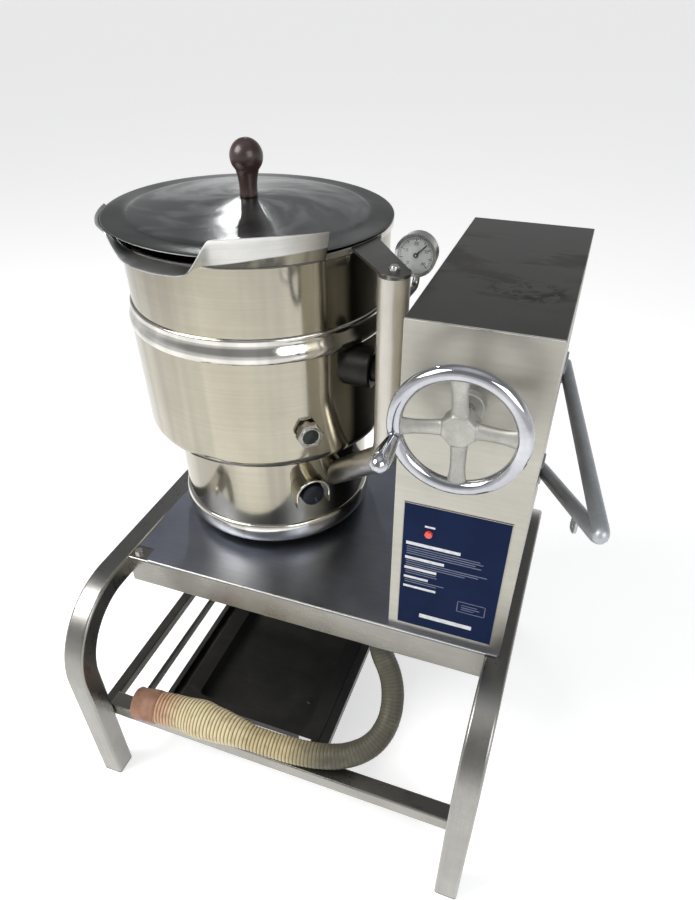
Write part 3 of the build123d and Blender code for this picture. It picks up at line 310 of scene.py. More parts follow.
def top_material():
    """dull sheet steel with dried spills towards the right and the middle"""
    m = Nodes("stained_top")
    x, y, z = m.xyz()
    broad = m.noise(m.co, 4.0, 5, 0.6)
    lines = m.noise(m.mapping((420, 3, 3)), 1.0, 3, 0.6)
    col = m.mix(m.span(broad, 0.35, 0.7), (0.092, 0.092, 0.088), (0.135, 0.134, 0.129))
    col = m.mix(m.span(lines, 0.3, 0.7, 0.0, 0.25), col, (0.12, 0.118, 0.11))
    wide = m.noise(m.mapping((1, 2.6, 1), loc=(1.3, 0.4, 0)), 6.5, 5, 0.6, 0.5)
    band = m.math("MULTIPLY", m.span(y, P(0, 60, 0).y, P(0, 150, 0).y, smooth=True),
                  m.span(y, P(0, 420, 0).y, P(0, 330, 0).y, smooth=True))
    stain = m.math("MULTIPLY", m.span(wide, 0.44, 0.60, smooth=True), band)
    col = m.mix(m.math("MULTIPLY", stain, 0.8), col, (0.075, 0.072, 0.064))
    spill = m.noise(m.mapping((1, 1, 1), loc=(4.2, 1.1, 0)), 34.0, 5, 0.65, 1.2)
    here = m.add("ShaderNodeVectorMath", operation="DISTANCE")
    m.put(here.inputs[0], m.mapping((1, 1.5, 0)))
    here.inputs[1].default_value = (P(150, 0, 0).x, P(0, 150, 0).y * 1.5, 0)
    near = m.span(here.outputs["Value"], 0.075, 0.045, smooth=True)
    spot = m.math("MULTIPLY", m.span(spill, 0.50, 0.54), near)
    col = m.mix(m.math("MULTIPLY", spot, 0.85), col, (0.03, 0.03, 0.028))
    r = m.math("ADD", m.span(broad, 0.3, 0.7, 0.33, 0.43), m.math("MULTIPLY", stain, 0.12))
    m.set(Base_Color=col, Metallic=1.0, Roughness=r, Normal=m.bump(lines, 0.08, 0.0004))
    return m.mat


M["top"] = top_material()

# ------------------------------------------------------------ mesh helpers
def obj_of(name, bm, mat, body, replaces=(), sharp=32.0):
    me = bpy.data.meshes.new(name)
    bmesh.ops.recalc_face_normals(bm, faces=bm.faces)
    bm.to_mesh(me)
    bm.free()
    o = bpy.data.objects.new(name, me)
    scene.collection.objects.link(o)
    me.materials.append(mat)
    for p in me.polygons:
        p.use_smooth = True
    me.set_sharp_from_angle(angle=radians(sharp))
    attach(o, body)
    if replaces:
        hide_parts(*replaces)
    return o


def arc(cx, cz, r, a0, a1, n=8):
    """points on an arc in the (radius, height) plane, degrees"""
    return [(cx + r * cos(radians(a0 + (a1 - a0) * i / n)), cz + r * sin(radians(a0 + (a1 - a0) * i / n))) for i in range(n + 1)]


def lathe(bm, profile, centre, axis="Z", segs=160, wobble=0.0, seed=0):
    """a closed profile of (radius, height) turned about an axis through centre; millimetres in, metres out"""
    rows = []
    for r, h in profile:
        if r < 1e-6:
            rows.append([bm.verts.new(place(centre, axis, 0, 0, h))])
            continue
        row = []
        for i in range(segs):
            a = 2 * pi * i / segs
            rr = r
            if wobble:
                rr += wobble * noise.noise(Vector((2.2 * cos(a), 2.2 * sin(a), h / 90 + seed)))
            row.append(bm.verts.new(place(centre, axis, rr, a, h)))
        rows.append(row)
    n = len(rows)
    for k in range(n):
        a, b = rows[k], rows[(k + 1) % n]
        if len(a) == 1 and len(b) == 1:
            continue
        for i in range(segs):
            j = (i + 1) % segs
            if len(a) == 1:
                bm.faces.new((a[0], b[j], b[i]))
            elif len(b) == 1:
                bm.faces.new((a[i], a[j], b[0]))
            else:
                bm.faces.new((a[i], a[j], b[j], b[i]))


def place(c, axis, r, a, h):
    if axis == "Z":
        return P(c[0] + r * cos(a), c[1] + r * sin(a), c[2] + h)
    if axis == "-Y":
        return P(c[0] + r * cos(a), c[1] - h, c[2] + r * sin(a))
    if axis == "X":
        return P(c[0] + h, c[1] + r * cos(a), c[2] + r * sin(a))
    u, v, w = axis
    q = Vector(c) + u * (r * cos(a)) + v * (r * sin(a)) + w * h
    return P(*q)


def box_into(bm, lo, hi, bevel=0.0):
    x0, y0, z0 = lo
    x1, y1, z1 = hi
    vs = [bm.verts.new(P(x, y, z)) for x in (x0, x1) for y in (y0, y1) for z in (z0, z1)]
    for f in ((0, 1, 3, 2), (4, 6, 7, 5), (0, 4, 5, 1), (2, 3, 7, 6), (0, 2, 6, 4), (1, 5, 7, 3)):
        bm.faces.new([vs[i] for i in f])


def frames(pts):
    """tangent, side and up at each point of a line, without twist"""
    out = []
    t0 = (pts[1] - pts[0]).normalized()
    side = t0.orthogonal().normalized()
    for i, p in enumerate(pts):
        a, b = pts[max(i - 1, 0)], pts[min(i + 1, len(pts) - 1)]
        t = (b - a).normalized()
        side = (side - t * side.dot(t)).normalized()
        out.append((p, t, side, t.cross(side)))
    return out


def tube_into(bm, pts, radius_at, segs=32, caps=True, shape=None):
    rows = []
    for k, (p, t, u, v) in enumerate(frames(pts)):
        r = radius_at(k)
        rows.append([bm.verts.new(p + (u * cos(2 * pi * i / segs) + v * sin(2 * pi * i / segs)) *
                                  (r * (shape(k, 2 * pi * i / segs) if shape else 1))) for i in range(segs)])
    for a, b in zip(rows, rows[1:]):
        for i in range(segs):
            j = (i + 1) % segs
            bm.faces.new((a[i], a[j], b[j], b[i]))
    if caps:
        bm.faces.new(rows[0][::-1])
        bm.faces.new(rows[-1])
    return rows


def resample(pts, step):
    out, acc = [pts[0].copy()], 0.0
    for a, b in zip(pts, pts[1:]):
        seg = (b - a).length
        while acc + seg >= step:
            a = a.lerp(b, (step - acc) / seg)
            out.append(a.copy())
            seg = (b - a).length
            acc = 0.0
        acc += seg
    return out


# --------------------------------------------------------------------- hose
HOSE = [(-36, 66, -84), (-36, 66, -112), (-27.5, 44.6, -150), (7.4, 20.2, -192), (24, -14.8, -228),
        (26.4, -55.8, -258), (8.9, -100.6, -280), (-33.4, -134.1, -294), (-89.7, -153.7, -299.3),
        (-160, -163, -299.2), (-236, -168.3, -292.6), (-284, -168.2, -287.6), (-334, -167.4, -286.9),
        (-394, -166.4, -287.3), (-446, -169.2, -287.4), (-486, -173.4, -287.2)]
cu = bpy.data.curves.new("hose_line", "CURVE")
cu.dimensions = "3D"
sp = cu.splines.new("NURBS")
sp.points.add(len(HOSE) - 1)
for q, h in zip(sp.points, HOSE):
    q.co = (*P(*h), 1)
sp.order_u = 3
sp.use_endpoint_u = True
sp.resolution_u = 24
line_obj = bpy.data.objects.new("hose_line", cu)
scene.collection.objects.link(line_obj)
bpy.context.view_layer.update()
line_mesh = bpy.data.meshes.new_from_object(line_obj)
hose_line = [v.co.copy() for v in line_mesh.vertices]
bpy.data.objects.remove(line_obj)

RIB = 0.0080
hose_pts = resample(hose_line, RIB / 8)
total = RIB / 8 * (len(hose_pts) - 1)


def ridge(k, n=8):
    "round ridges with narrow grooves between them"
    return abs(sin(pi * k / n)) ** 0.55


def hose_radius(k):
    s = k * RIB / 8 / total
    base = 0.0246 + 0.0024 * min(1, max(0, (s - 0.30) / 0.25))
    depth = 0.0004 + 0.0024 * min(1, max(0, (s - 0.44) / 0.2))
    return base - depth * (1 - ridge(k)) + 0.0004 * noise.noise(Vector((s * 40, 1.3, 0)))


bm = bmesh.new()
rows = tube_into(bm, hose_pts, hose_radius, 40)
hose = obj_of("ribbed_hose", bm, M["cuff"], "stand", ["drain_hose"], 60)


def ribs_attribute(o, rows_n, segs, phase):
    at = o.data.attributes.new("rib", "FLOAT", "POINT")
    vals = []
    for k in range(rows_n):
        vals += [phase(k)] * segs
    for i, v in enumerate(vals[:len(o.data.vertices)]):
        at.data[i].value = v


ribs_attribute(hose, len(hose_pts), 40, ridge)


def hose_material(name, pale, deep, olive, olive_deep, x_pale, x_olive, orange=None):
    """ribbed plastic: grooves darker than the ridges as painted shade; pale towards the left, dark olive towards the
    right nearer the pipe
    """
    m = Nodes(name)
    at = m.add("ShaderNodeAttribute", attribute_name="rib")
    rib = m.span(at.outputs["Fac"], 0.15, 0.85)
    x = m.xyz()[0]
    blot = m.noise(m.co, 26, 5, 0.6)
    t = m.math("ADD", m.span(x, x_pale, x_olive, smooth=True), m.span(blot, 0.3, 0.7, -0.12, 0.12))
    high = m.mix(t, pale, olive)
    low = m.mix(t, deep, olive_deep)
    # painted shade: the grooves between the ribs take the darker colours
    col = m.mix(rib, low, high)
    if orange:
        far, near, tint, tint_deep = orange
        o = m.math("ADD", m.span(x, near, far, smooth=True), m.span(blot, 0.3, 0.7, -0.15, 0.15))
        col = m.mix(o, col, m.mix(rib, tint_deep, tint))
    dirt = m.noise(m.mapping((1, 1, 1), loc=(2, 5, 1)), 60, 4, 0.6)
    col = m.mix(m.span(dirt, 0.5, 0.75, 0, 0.4), col, tuple(c * 0.45 for c in deep))
    fine = m.noise(m.co, 900, 2, 0.6)
    m.set(Base_Color=col, Roughness=m.span(blot, 0.3, 0.7, 0.42, 0.62), Normal=m.bump(fine, 0.12, 0.0004))
    return m.mat


hose.data.materials[0] = hose_material("hose_ribbed", (0.46, 0.385, 0.215), (0.20, 0.15, 0.075), (0.066, 0.062, 0.041),
                                       (0.046, 0.043, 0.029), P(-185, 0, 0).x, P(-75, 0, 0).x)

# wide sleeve: the last stretch of the same line, deeper ribs and a hump
start = next(i for i, q in enumerate(hose_pts) if q.x < P(-250, 0, 0).x)
sleeve_pts = hose_pts[start:]
ns = len(sleeve_pts)


def sleeve_radius(k):
    s = k / (ns - 1)
    x = sleeve_pts[k].x * 1000 - OX
    r = 28.2 + 8.6 * min(1, s / 0.30) ** 1.2
    r += 4.9 * math.exp(-((x + 372) / 27) ** 2)
    r -= 2.2 * min(1, max(0, (-440 - x) / 50))
    r -= (2.9 + 0.7 * noise.noise(Vector((s * 19, 4.1, 0)))) * (1 - ridge(k))
    return r / 1000


bm = bmesh.new()
tube_into(bm, sleeve_pts, sleeve_radius, 48)
sleeve = obj_of("hose_wide_sleeve", bm, M["cuff"], "stand", ["hose_sleeve"], 60)
ribs_attribute(sleeve, ns, 48, ridge)
sleeve.data.materials[0] = hose_material("sleeve_ribbed", (0.62, 0.54, 0.33), (0.26, 0.185, 0.085), (0.46, 0.385, 0.215),
                                         (0.20, 0.15, 0.075), P(-300, 0, 0).x, P(-230, 0, 0).x,
                                         orange=(P(-470, 0, 0).x, P(-400, 0, 0).x, (0.46, 0.27, 0.165), (0.25, 0.12, 0.07)))

# smooth cuff: a soft sleeve with a thick rolled mouth
end, back = hose_line[-1], hose_line[-6]
d = (end - back).normalized()
cuff_pts = [end + d * t for t in [x * 0.001 for x in (-10, -6, 0, 6, 12, 18, 24, 30, 35, 39, 42, 44)]]
prof = [36.2, 37.0, 37.4, 37.0, 36.2, 35.4, 34.8, 34.6, 35.0, 35.6, 35.2, 33.6]
bm = bmesh.new()
outer = tube_into(bm, cuff_pts, lambda k: prof[k] / 1000, 48, caps=False,
                  shape=lambda k, a: 1 + 0.025 * noise.noise(Vector((2 * cos(a), 2 * sin(a), k * 0.5))))
inner_pts = [end + d * t for t in (0.043, 0.038, 0.02, 0.0)]
inner = tube_into(bm, inner_pts, lambda k: (30.5 / 1000, 29.5 / 1000, 29.0 / 1000, 29.0 / 1000)[k], 48, caps=False)
bmesh.ops.bridge_loops(bm, edges=[e for e in bm.edges if e.is_boundary and (all(v in outer[-1] for v in e.verts) or all(v in inner[0] for v in e.verts))])
bm.faces.new(inner[-1])
bm.faces.new(outer[0][::-1])
cuff = obj_of("smooth_cuff", bm, M["cuff"], "stand", ["hose_cuff"], 50)

# --------------------------------------------------------------- the kettle
KX, KY = -378.0, 314.0
# the lid leans a little: its centre, and its own directions
LID_C = (-389.3, 313.1, 664.7)
LID_W = Vector((0.020, 0.015, 1)).normalized()
LID_U = Vector((1, 0, -0.020)).normalized()
LID_AXIS = (LID_U, LID_W.cross(LID_U), LID_W)
M["lid"] = lid_material(P(*LID_C))

bm = bmesh.new()
shell = [(0, 246), (120, 246), (228, 246)] + arc(228, 278, 32, -90, 0, 14)[1:] + \
        [(260, 300), (260, 330), (260, 360), (260, 400), (260, 440), (260, 479), (257, 479), (257, 278)] + \
        arc(228, 278, 29, 0, -90, 8) + [(0, 249)]
lathe(bm, shell, (KX, KY, 0), segs=192, wobble=0.5)
obj_of("jacket_wall", bm, M["polish"], "kettle", ["jacket_shell"])

# rolled band: a narrow bead, a hollow and a broad bead
bm = bmesh.new()
band = [(252.2, 523), (254.2, 522.6), (256.0, 520.6), (256.4, 518.2), (255.4, 515.6), (254.6, 513.0), (254.9, 509.5),
        (256.4, 505.5), (258.6, 501.5), (261.0, 497.0), (262.6, 492.5), (263.0, 488.0), (262.6, 484.0), (261.4, 480.5),
        (260.2, 478.6), (257, 478.6), (257, 482), (252.2, 500)]
lathe(bm, band, (KX, KY, 0), segs=192, wobble=0.3, seed=3)
obj_of("rolled_band", bm, M["polish_turned"], "kettle", ["jacket_band"], 50)

bm = bmesh.new()
ring = [(209.1, 68)] + [(209.1 + 7.9 * sin(radians(a)) ** 0.8, 68 - 25 * (1 - cos(radians(a)))) for a in range(15, 91, 15)] + \
       [(217 - 13.5 * (1 - cos(radians(a))), 43 - 24 * sin(radians(a))) for a in range(15, 91, 15)] + \
       [(201, 16.4), (198, 15), (0, 15), (0, 18), (197, 18), (203, 30), (206, 50), (206.4, 68)]
lathe(bm, ring, (KX, KY, 0), segs=192, wobble=0.3, seed=5)
obj_of("base_bead", bm, M["polish_turned"], "kettle", ["base_ring"], 50)

# weld line where the skirt meets the jacket
bm = bmesh.new()
rows = []
lathe(bm, [(208.9, 243.4), (210.8, 243.8), (211.6, 245.2), (211.4, 246.2), (208.9, 246.2)], (KX, KY, 0), segs=192, wobble=0.6, seed=9)
obj_of("skirt_weld", bm, M["strap"], "kettle")

# ------------------------------------------------------------------ the lid
bm = bmesh.new()
lid = [(0, 21.9), (14.5, 21.9), (17, 21.7)] + [(r, 21.7 - (r - 17) * 17.75 / 204) for r in (40, 70, 100, 130, 160, 190, 212)] + \
      [(219, 4.2), (223, 2.9), (227, 1.6), (232, 0.9), (240, 0.5), (252, 0.3), (262, 0.05), (266, -0.3), (267.5, -0.8),
       (268, -1.6), (267.6, -2.4), (266.6, -2.5), (265.6, -2.0), (252, -1.6), (232, -1.1), (225, 0.4), (219, 2.1),
       (17, 20.0), (0, 20.0)]
lathe(bm, lid, LID_C, LID_AXIS, segs=224, wobble=0.45, seed=2)
obj_of("lid_disc", bm, M["lid"], "lid", ["lid"], 50)

bm = bmesh.new()
knob = [(0, 22)] + [(15.6, 22), (16.6, 23.2), (16.9, 25.5), (16.5, 29), (16.3, 34), (16.5, 40), (17.1, 47), (18.2, 54),
                    (19.6, 60.5), (21.2, 66.6)] + arc(0, 88, 30, -44, 90, 24)[1:-1] + [(0, 118)]
lathe(bm, knob, LID_C, LID_AXIS, segs=80)
obj_of("lid_knob_turned", bm, M["brown"], "lid", ["lid_knob"], 50)

# ---------------------------------------------------------- the pouring lip
# stations from the left wing's end to the right one's: angle about the kettle,
# then radius and height of the sheet's rim side and of its free edge
LIP = [(-163, 258.1, 646, 285, 671), (-151.5, 258.1, 646, 285, 671.5), (-140, 258.1, 646, 285, 672.5),
       (-132, 258.1, 646, 287, 677), (-126, 258.1, 646, 290, 681), (-120.5, 258.1, 646, 290.3, 681),
       (-117.7, 256.5, 647, 289.7, 661), (-114.5, 256.5, 647, 288, 643.5), (-109.6, 256.5, 647, 288, 638),
       (-100, 256.5, 647, 287.5, 636.5), (-91, 256.5, 647, 287.5, 638), (-86.2, 256.5, 647, 287.5, 643.5),
       (-84.6, 256.5, 647, 287, 652.7), (-82.1, 256.5, 647, 288, 669), (-80, 257.3, 646.5, 288, 684.7),
       (-77.7, 258.1, 646, 290, 699.5), (-68, 258.1, 646, 287, 702), (-58.8, 258.1, 646, 281, 701),
       (-49, 258.1, 646, 276, 698), (-38.5, 258.1, 646, 272, 693.8)]
line = []
for a, b in zip(LIP, LIP[1:]):
    n = max(2, int(abs(b[0] - a[0]) / 0.55))
    line += [[p + (q - p) * i / n for p, q in zip(a, b)] for i in range(n)]
line.append(list(LIP[-1]))
for _ in range(3):
    line = [line[0]] + [[(p + 2 * q + r) / 4 for p, q, r in zip(line[i - 1], line[i], line[i + 1])]
                        for i in range(1, len(line) - 1)] + [line[-1]]


def polar(a, r, z):
    return Vector((KX + r * cos(radians(a)), KY + r * sin(radians(a)), z))


ROWS = [0, 0.06, 0.16, 0.3, 0.45, 0.6, 0.75, 0.88, 0.96, 1.0]
grid = [[polar(a, r0, z0).lerp(polar(a, r1, z1), t) for t in ROWS] for a, r0, z0, r1, z1 in line]
front, behind = [], []
bm = bmesh.new()
for i, row in enumerate(grid):
    fa, ba = [], []
    for k, p in enumerate(row):
        along = grid[min(i + 1, len(grid) - 1)][k] - grid[max(i - 1, 0)][k]
        across = row[min(k + 1, len(row) - 1)] - row[max(k - 1, 0)]
        nrm = along.cross(across).normalized()
        half = 1.15 if k < len(row) - 1 else 0.75
        fa.append(bm.verts.new(P(*(p + nrm * half))))
        ba.append(bm.verts.new(P(*(p - nrm * half))))
    front.append(fa)
    behind.append(ba)
nr = len(ROWS)
for i in range(len(grid) - 1):
    for k in range(nr - 1):
        bm.faces.new((front[i][k], front[i + 1][k], front[i + 1][k + 1], front[i][k + 1]))
        bm.faces.new((behind[i][k], behind[i][k + 1], behind[i + 1][k + 1], behind[i + 1][k]))
    bm.faces.new((front[i][nr - 1], front[i + 1][nr - 1], behind[i + 1][nr - 1], behind[i][nr - 1]))
    bm.faces.new((front[i][0], behind[i][0], behind[i + 1][0], front[i + 1][0]))
for i in (0, len(grid) - 1):
    for k in range(nr - 1):
        bm.faces.new((front[i][k], front[i][k + 1], behind[i][k + 1], behind[i][k]))


def lip_material():
    """brushed sheet with painted light: a painted highlight makes it pale towards the right wing, painted shade leaves
    it dull grey on the nose and the left, and painted shade and reflection streak the right wing's lower part
    """
    m = Nodes("lip_sheet")
    x, y, z = m.xyz()
    # painted highlight on the right wing, painted shade on the nose and the left
    right = m.span(x, P(-385, 0, 0).x, P(-335, 0, 0).x, smooth=True)
    broad = m.noise(m.co, 9.0, 5, 0.6)
    lines = m.noise(m.mapping((5, 5, 380)), 1.0, 3, 0.6)
    pale = m.mix(m.span(broad, 0.35, 0.7), (0.70, 0.70, 0.685), (0.84, 0.84, 0.83))
    dull = m.mix(m.span(broad, 0.35, 0.7), (0.34, 0.345, 0.345), (0.46, 0.465, 0.46))
    col = m.mix(right, dull, pale)
    # painted shade and reflection: below this line the right wing's lower part gets dark and cream vertical streaks
    climb = m.math("ADD", m.span(x, P(-359, 0, 0).x, P(-254, 0, 0).x, P(0, 0, 648).z, P(0, 0, 664).z),
                   m.span(x, P(-254, 0, 0).x, P(-196, 0, 0).x, 0.0, 0.004))
    low = m.span(m.math("SUBTRACT", z, climb), 0.0012, -0.0012, smooth=True)
    low = m.math("MULTIPLY", low, m.span(x, P(-375, 0, 0).x, P(-350, 0, 0).x))
    streaks = m.noise(m.mapping((26, 26, 0.5)), 1.0, 2, 0.5)
    col = m.mix(low, col, m.mix(m.span(streaks, 0.4, 0.6), (0.10, 0.095, 0.08), (0.42, 0.39, 0.31)))
    col = m.mix(m.span(lines, 0.3, 0.7, 0.0, 0.18), col, (0.35, 0.35, 0.34))
    m.set(Base_Color=col, Metallic=1.0, Roughness=m.span(broad, 0.3, 0.7, 0.34, 0.44), Normal=m.bump(lines, 0.05, 0.0004))
    return m.mat


obj_of("lip_sheet", bm, lip_material(), "kettle", ["pouring_lip"], 40)

# weld bead where the lip's sheet meets the rim
bm = bmesh.new()
random.seed(11)
bead = [P(*polar(a, r0 + 1.6, z0 + 1.4)) for a, r0, z0, r1, z1 in line]
bead = resample(bead, 0.002)
tube_into(bm, bead, lambda k: 0.0011 + 0.0004 * abs(sin(k * 1.1)) + 0.0003 * random.random(), 10)
obj_of("lip_weld", bm, M["strap"], "kettle")

# a bright rubbed edge along the front of the deck, its near-white colour partly a painted highlight
bm = bmesh.new()
edge = [P(x, -8.4, -1.6) for x in range(-549, 217, 5)]
tube_into(bm, edge, lambda k: 0.0019, 10)
obj_of("deck_front_edge", bm, M["edge"], "stand")

# ------------------------------------------------- bent tube on the console
A, K, S = Vector((220, 452, 382)), Vector((328, -62, 372)), Vector((220, 214, 285))
back_a, back_s = (A - K).normalized(), (S - K).normalized()
REACH = 34.0
start_a, start_s = K + back_a * REACH, K + back_s * REACH
route = [A + back_a * -1, *[A.lerp(start_a, t / 14) for t in range(1, 14)]]
for i in range(13):
    t = i / 12
    route.append(start_a * (1 - t) ** 2 + K * 2 * t * (1 - t) + start_s * t ** 2)
route += [start_s.lerp(S, t / 8) for t in range(1, 8)] + [S]
bm = bmesh.new()
tube_into(bm, [P(*q) for q in route], lambda k: 0.0127, 28)
# slotted foot plates against the cabinet's side
for (y, z, long_, wide) in ((437, 382, 88, 44), (214, 285, 70, 42)):
    ring = []
    for side in (1, -1):
        for i in range(13):
            t = radians(-90 + 180 * i / 12)
            ring.append((y + side * ((long_ - wide) / 2 + wide / 2 * cos(t)), z + side * wide / 2 * sin(t)))
    lowr = [bm.verts.new(P(220.02, q[0], q[1])) for q in ring]
    midr = [bm.verts.new(P(223.2, q[0], q[1])) for q in ring]
    topr = [bm.verts.new(P(224, y + (q[0] - y) * 0.975, z + (q[1] - z) * 0.96)) for q in ring]
    for r0, r1 in ((lowr, midr), (midr, topr)):
        for i in range(len(ring)):
            j = (i + 1) % len(ring)
            bm.faces.new((r0[i], r0[j], r1[j], r1[i]))
    bm.faces.new(topr)
    bm.faces.new(lowr[::-1])
# lug under the strut: a rounded tab with a hole
down = (K - S).normalized()
mid = S + down * 205 + Vector((-2, 0, -20))
fx = Vector((down.x, down.y, 0)).normalized()
fn = Vector((-down.y, down.x, 0)).normalized()
outer, inner = [], []
for i in range(32):
    t = 2 * pi * i / 32
    cx, cz = cos(t), sin(t)
    k = 1 / max(abs(cx) / 10, abs(cz) / 19)
    outer.append((cx * min(k, 16), cz * min(k, 19)) if abs(cz) < 0.85 else (cx * k * 0.98, cz * 19))
    inner.append((4 * cx, -9 + 4 * cz))
loops = []
for off in (-2.5, 2.5):
    loops.append([bm.verts.new(P(*(mid + fx * q[0] + Vector((0, 0, q[1])) + fn * off))) for q in outer])
    loops.append([bm.verts.new(P(*(mid + fx * q[0] + Vector((0, 0, q[1])) + fn * off))) for q in inner])
for i in range(32):
    j = (i + 1) % 32
    bm.faces.new((loops[0][i], loops[0][j], loops[1][j], loops[1][i]))
    bm.faces.new((loops[2][i], loops[3][i], loops[3][j], loops[2][j]))
    bm.faces.new((loops[0][i], loops[2][i], loops[2][j], loops[0][j]))
    bm.faces.new((loops[1][i], loops[1][j], loops[3][j], loops[3][i]))
obj_of("bent_bracket_tube", bm, M["bracket"], "stand", ["bracket_arm", "bracket_strut"], 50)

def outward(angle):
    a = radians(angle)
    return (Vector((-sin(a), cos(a), 0)), Vector((0, 0, 1)), Vector((cos(a), sin(a), 0)))


# thermostat knob: fluted skirt, domed face and a pointer line
axis = outward(-46.5)
bm = bmesh.new()
rows = []
for r, h, flute in ((0, 213, 0), (25, 213, 0), (27.6, 214.2, 0), (28, 216, 0), (27.4, 218, 0), (25.6, 219.4, 0), (25.4, 221, 0.3), (25.2, 226, 1),
                    (24.9, 238, 1), (24.3, 244, 0.8), (22.8, 247, 0.4), (20, 248.6, 0.1), (12, 249.6, 0), (0, 250, 0)):
    n = 96 if r else 1
    rows.append([bm.verts.new(place((KX, KY, 164), axis, r * (1 - 0.035 * flute * (0.5 + 0.5 * cos(12 * 2 * pi * i / 96))), 2 * pi * i / 96, h)) for i in range(n)])
for a, b in zip(rows, rows[1:]):
    for i in range(96):
        j = (i + 1) % 96
        if len(a) == 1:
            bm.faces.new((a[0], b[i], b[j]))
        elif len(b) == 1:
            bm.faces.new((a[i], a[j], b[0]))
        else:
            bm.faces.new((a[i], a[j], b[j], b[i]))
obj_of("thermostat_dial_knob", bm, M["black"], "thermostat_knob", ["thermostat_knob"], 40)
bm = bmesh.new()
u_, v_, w_ = axis
line_c = Vector((KX, KY, 164)) + w_ * 249.4 + (u_ * 0.35 + v_ * -0.94).normalized() * 11
lu = (u_ * 0.35 + v_ * -0.94).normalized()
lv = w_.cross(lu)
lo = [bm.verts.new(P(*(line_c + lu * a + lv * b - w_ * 0.8))) for a, b in ((-7, -0.9), (7, -0.7), (7, 0.7), (-7, 0.9))]
hi = [bm.verts.new(P(*(line_c + lu * a + lv * b + w_ * 0.75))) for a, b in ((-7, -0.9), (7, -0.7), (7, 0.7), (-7, 0.9))]
bm.faces.new(hi)
bm.faces.new(lo[::-1])
for i in range(4):
    bm.faces.new((lo[i], lo[(i + 1) % 4], hi[(i + 1) % 4], hi[i]))
obj_of("knob_pointer", bm, M["print_dim"], "thermostat_knob")

# rolled front edge of the hood over the knob
u_shape = [(-34.5, -8), (-34.5, 0)] + [(34.5 * cos(radians(180 - 180 * i / 24)), 34.5 * sin(radians(180 - 180 * i / 24))) for i in range(1, 24)] + \
          [(34.5, 0), (34.5, -8)]
bm = bmesh.new()
tube_into(bm, [P(*(Vector((KX, KY, 164)) + w_ * 244.5 + u_ * q[0] + v_ * q[1])) for q in u_shape], lambda k: 0.0027, 14)
obj_of("hood_edge", bm, M["polish_turned"], "kettle")

# sight glass: a low dome of dark glass held by a turned ring
axis = outward(-48.9)
bm = bmesh.new()
lathe(bm, [(0, 280.6), (6, 280.5), (11, 280.1), (15.2, 279.3), (15.2, 277.0), (0, 277.0)], (KX, KY, 331.0), axis, segs=64)
obj_of("sight_glass_dome", bm, M["sight"], "kettle", (), 60)
bm = bmesh.new()
lathe(bm, [(15.0, 278.9), (15.6, 280.3), (17.0, 281.0), (18.6, 280.7), (19.6, 279.6), (19.8, 278.9)], (KX, KY, 331.0), axis, segs=64)
obj_of("sight_glass_ring", bm, M["hex"], "kettle", (), 60)

# folded top edge of the console's front sheet
fo, to = bpy.data.objects["console_front"], bpy.data.objects["console_top"]
fc = [fo.matrix_world @ v.co for v in fo.data.vertices]
tc = [to.matrix_world @ v.co for v in to.data.vertices]
ex0, ex1 = min(c.x for c in fc), max(c.x for c in fc)
ey = min(min(c.y for c in fc), min(c.y for c in tc)) + 0.0011
ez = max(c.z for c in tc) - 0.0011
bm = bmesh.new()
tube_into(bm, [Vector((ex0 + 0.001 + (ex1 - ex0 - 0.002) * i / 24, ey, ez)) for i in range(25)], lambda k: 0.0015, 12)
obj_of("console_edge", bm, M["polish_turned"], "stand")

# strainer over the drain pan's hole, in the pan's near-black painted shade
bm = bmesh.new()
lathe(bm, [(0, -410.2), (3.0, -410.2), (5.6, -410.6), (7.2, -411.3), (7.6, -411.68), (4.6, -411.7), (4.6, -413.4), (0, -413.4)], (-200, 33, 0), segs=32)
obj_of("pan_strainer", bm, M["pan"], "drain_pan", (), 50)

# ------------------------------------------------------- the wheel's spider
WX, WY, WZ = 106.0, -81.0, 521.0
bm = bmesh.new()
# hub: eight flat sides with a bevelled front
hub = []
for r, y in ((27.2, -50.4), (27.2, -76.5), (24.0, -81.6), (0, -81.6)):
    hub.append([bm.verts.new(P(WX + r * cos(radians(45 * i + 22.5)), y, WZ + r * sin(radians(45 * i + 22.5)))) for i in range(8)] if r
               else [bm.verts.new(P(WX, y, WZ))])
for a, b in zip(hub[:2], hub[1:3]):
    for i in range(8):
        j = (i + 1) % 8
        bm.faces.new((a[i], a[j], b[j], b[i]))
for i in range(8):
    bm.faces.new((hub[2][i], hub[2][(i + 1) % 8], hub[3][0]))
bm.faces.new(hub[0][::-1])
# four spokes, wider where they meet the hub and the rim
for s_ in (4, 94, 184, 274):
    a = radians(s_)
    out, side = Vector((cos(a), 0, sin(a))), Vector((-sin(a), 0, cos(a)))
    rings = []
    for d_, w_, t_ in ((10, 15.5, 8.6), (20, 14.5, 8.5), (27, 12.9, 8.3), (38, 12.0, 7.9), (52, 11.6, 7.4), (64, 11.8, 7.0),
                       (74, 13.4, 6.9), (81, 15.0, 6.8), (88, 15.6, 6.4)):
        y = -69 + (WY + 69) * (d_ - 16) / 72
        c = Vector((WX, y, WZ)) + out * d_
        rings.append([bm.verts.new(P(*(c + side * (w_ * cos(2 * pi * i / 20)) + Vector((0, t_ * sin(2 * pi * i / 20), 0))))) for i in range(20)])
    for p, q in zip(rings, rings[1:]):
        for i in range(20):
            j = (i + 1) % 20
            bm.faces.new((p[i], p[j], q[j], q[i]))
    bm.faces.new(rings[0][::-1])
    bm.faces.new(rings[-1])
spider = obj_of("cast_wheel_spider", bm, M["cast"], "handwheel", ["handwheel_spider"], 180)
rm = spider.modifiers.new("remesh", "REMESH")
rm.mode = "VOXEL"
rm.voxel_size = 0.0016
rm.use_smooth_shade = True
sm = spider.modifiers.new("smooth", "SMOOTH")
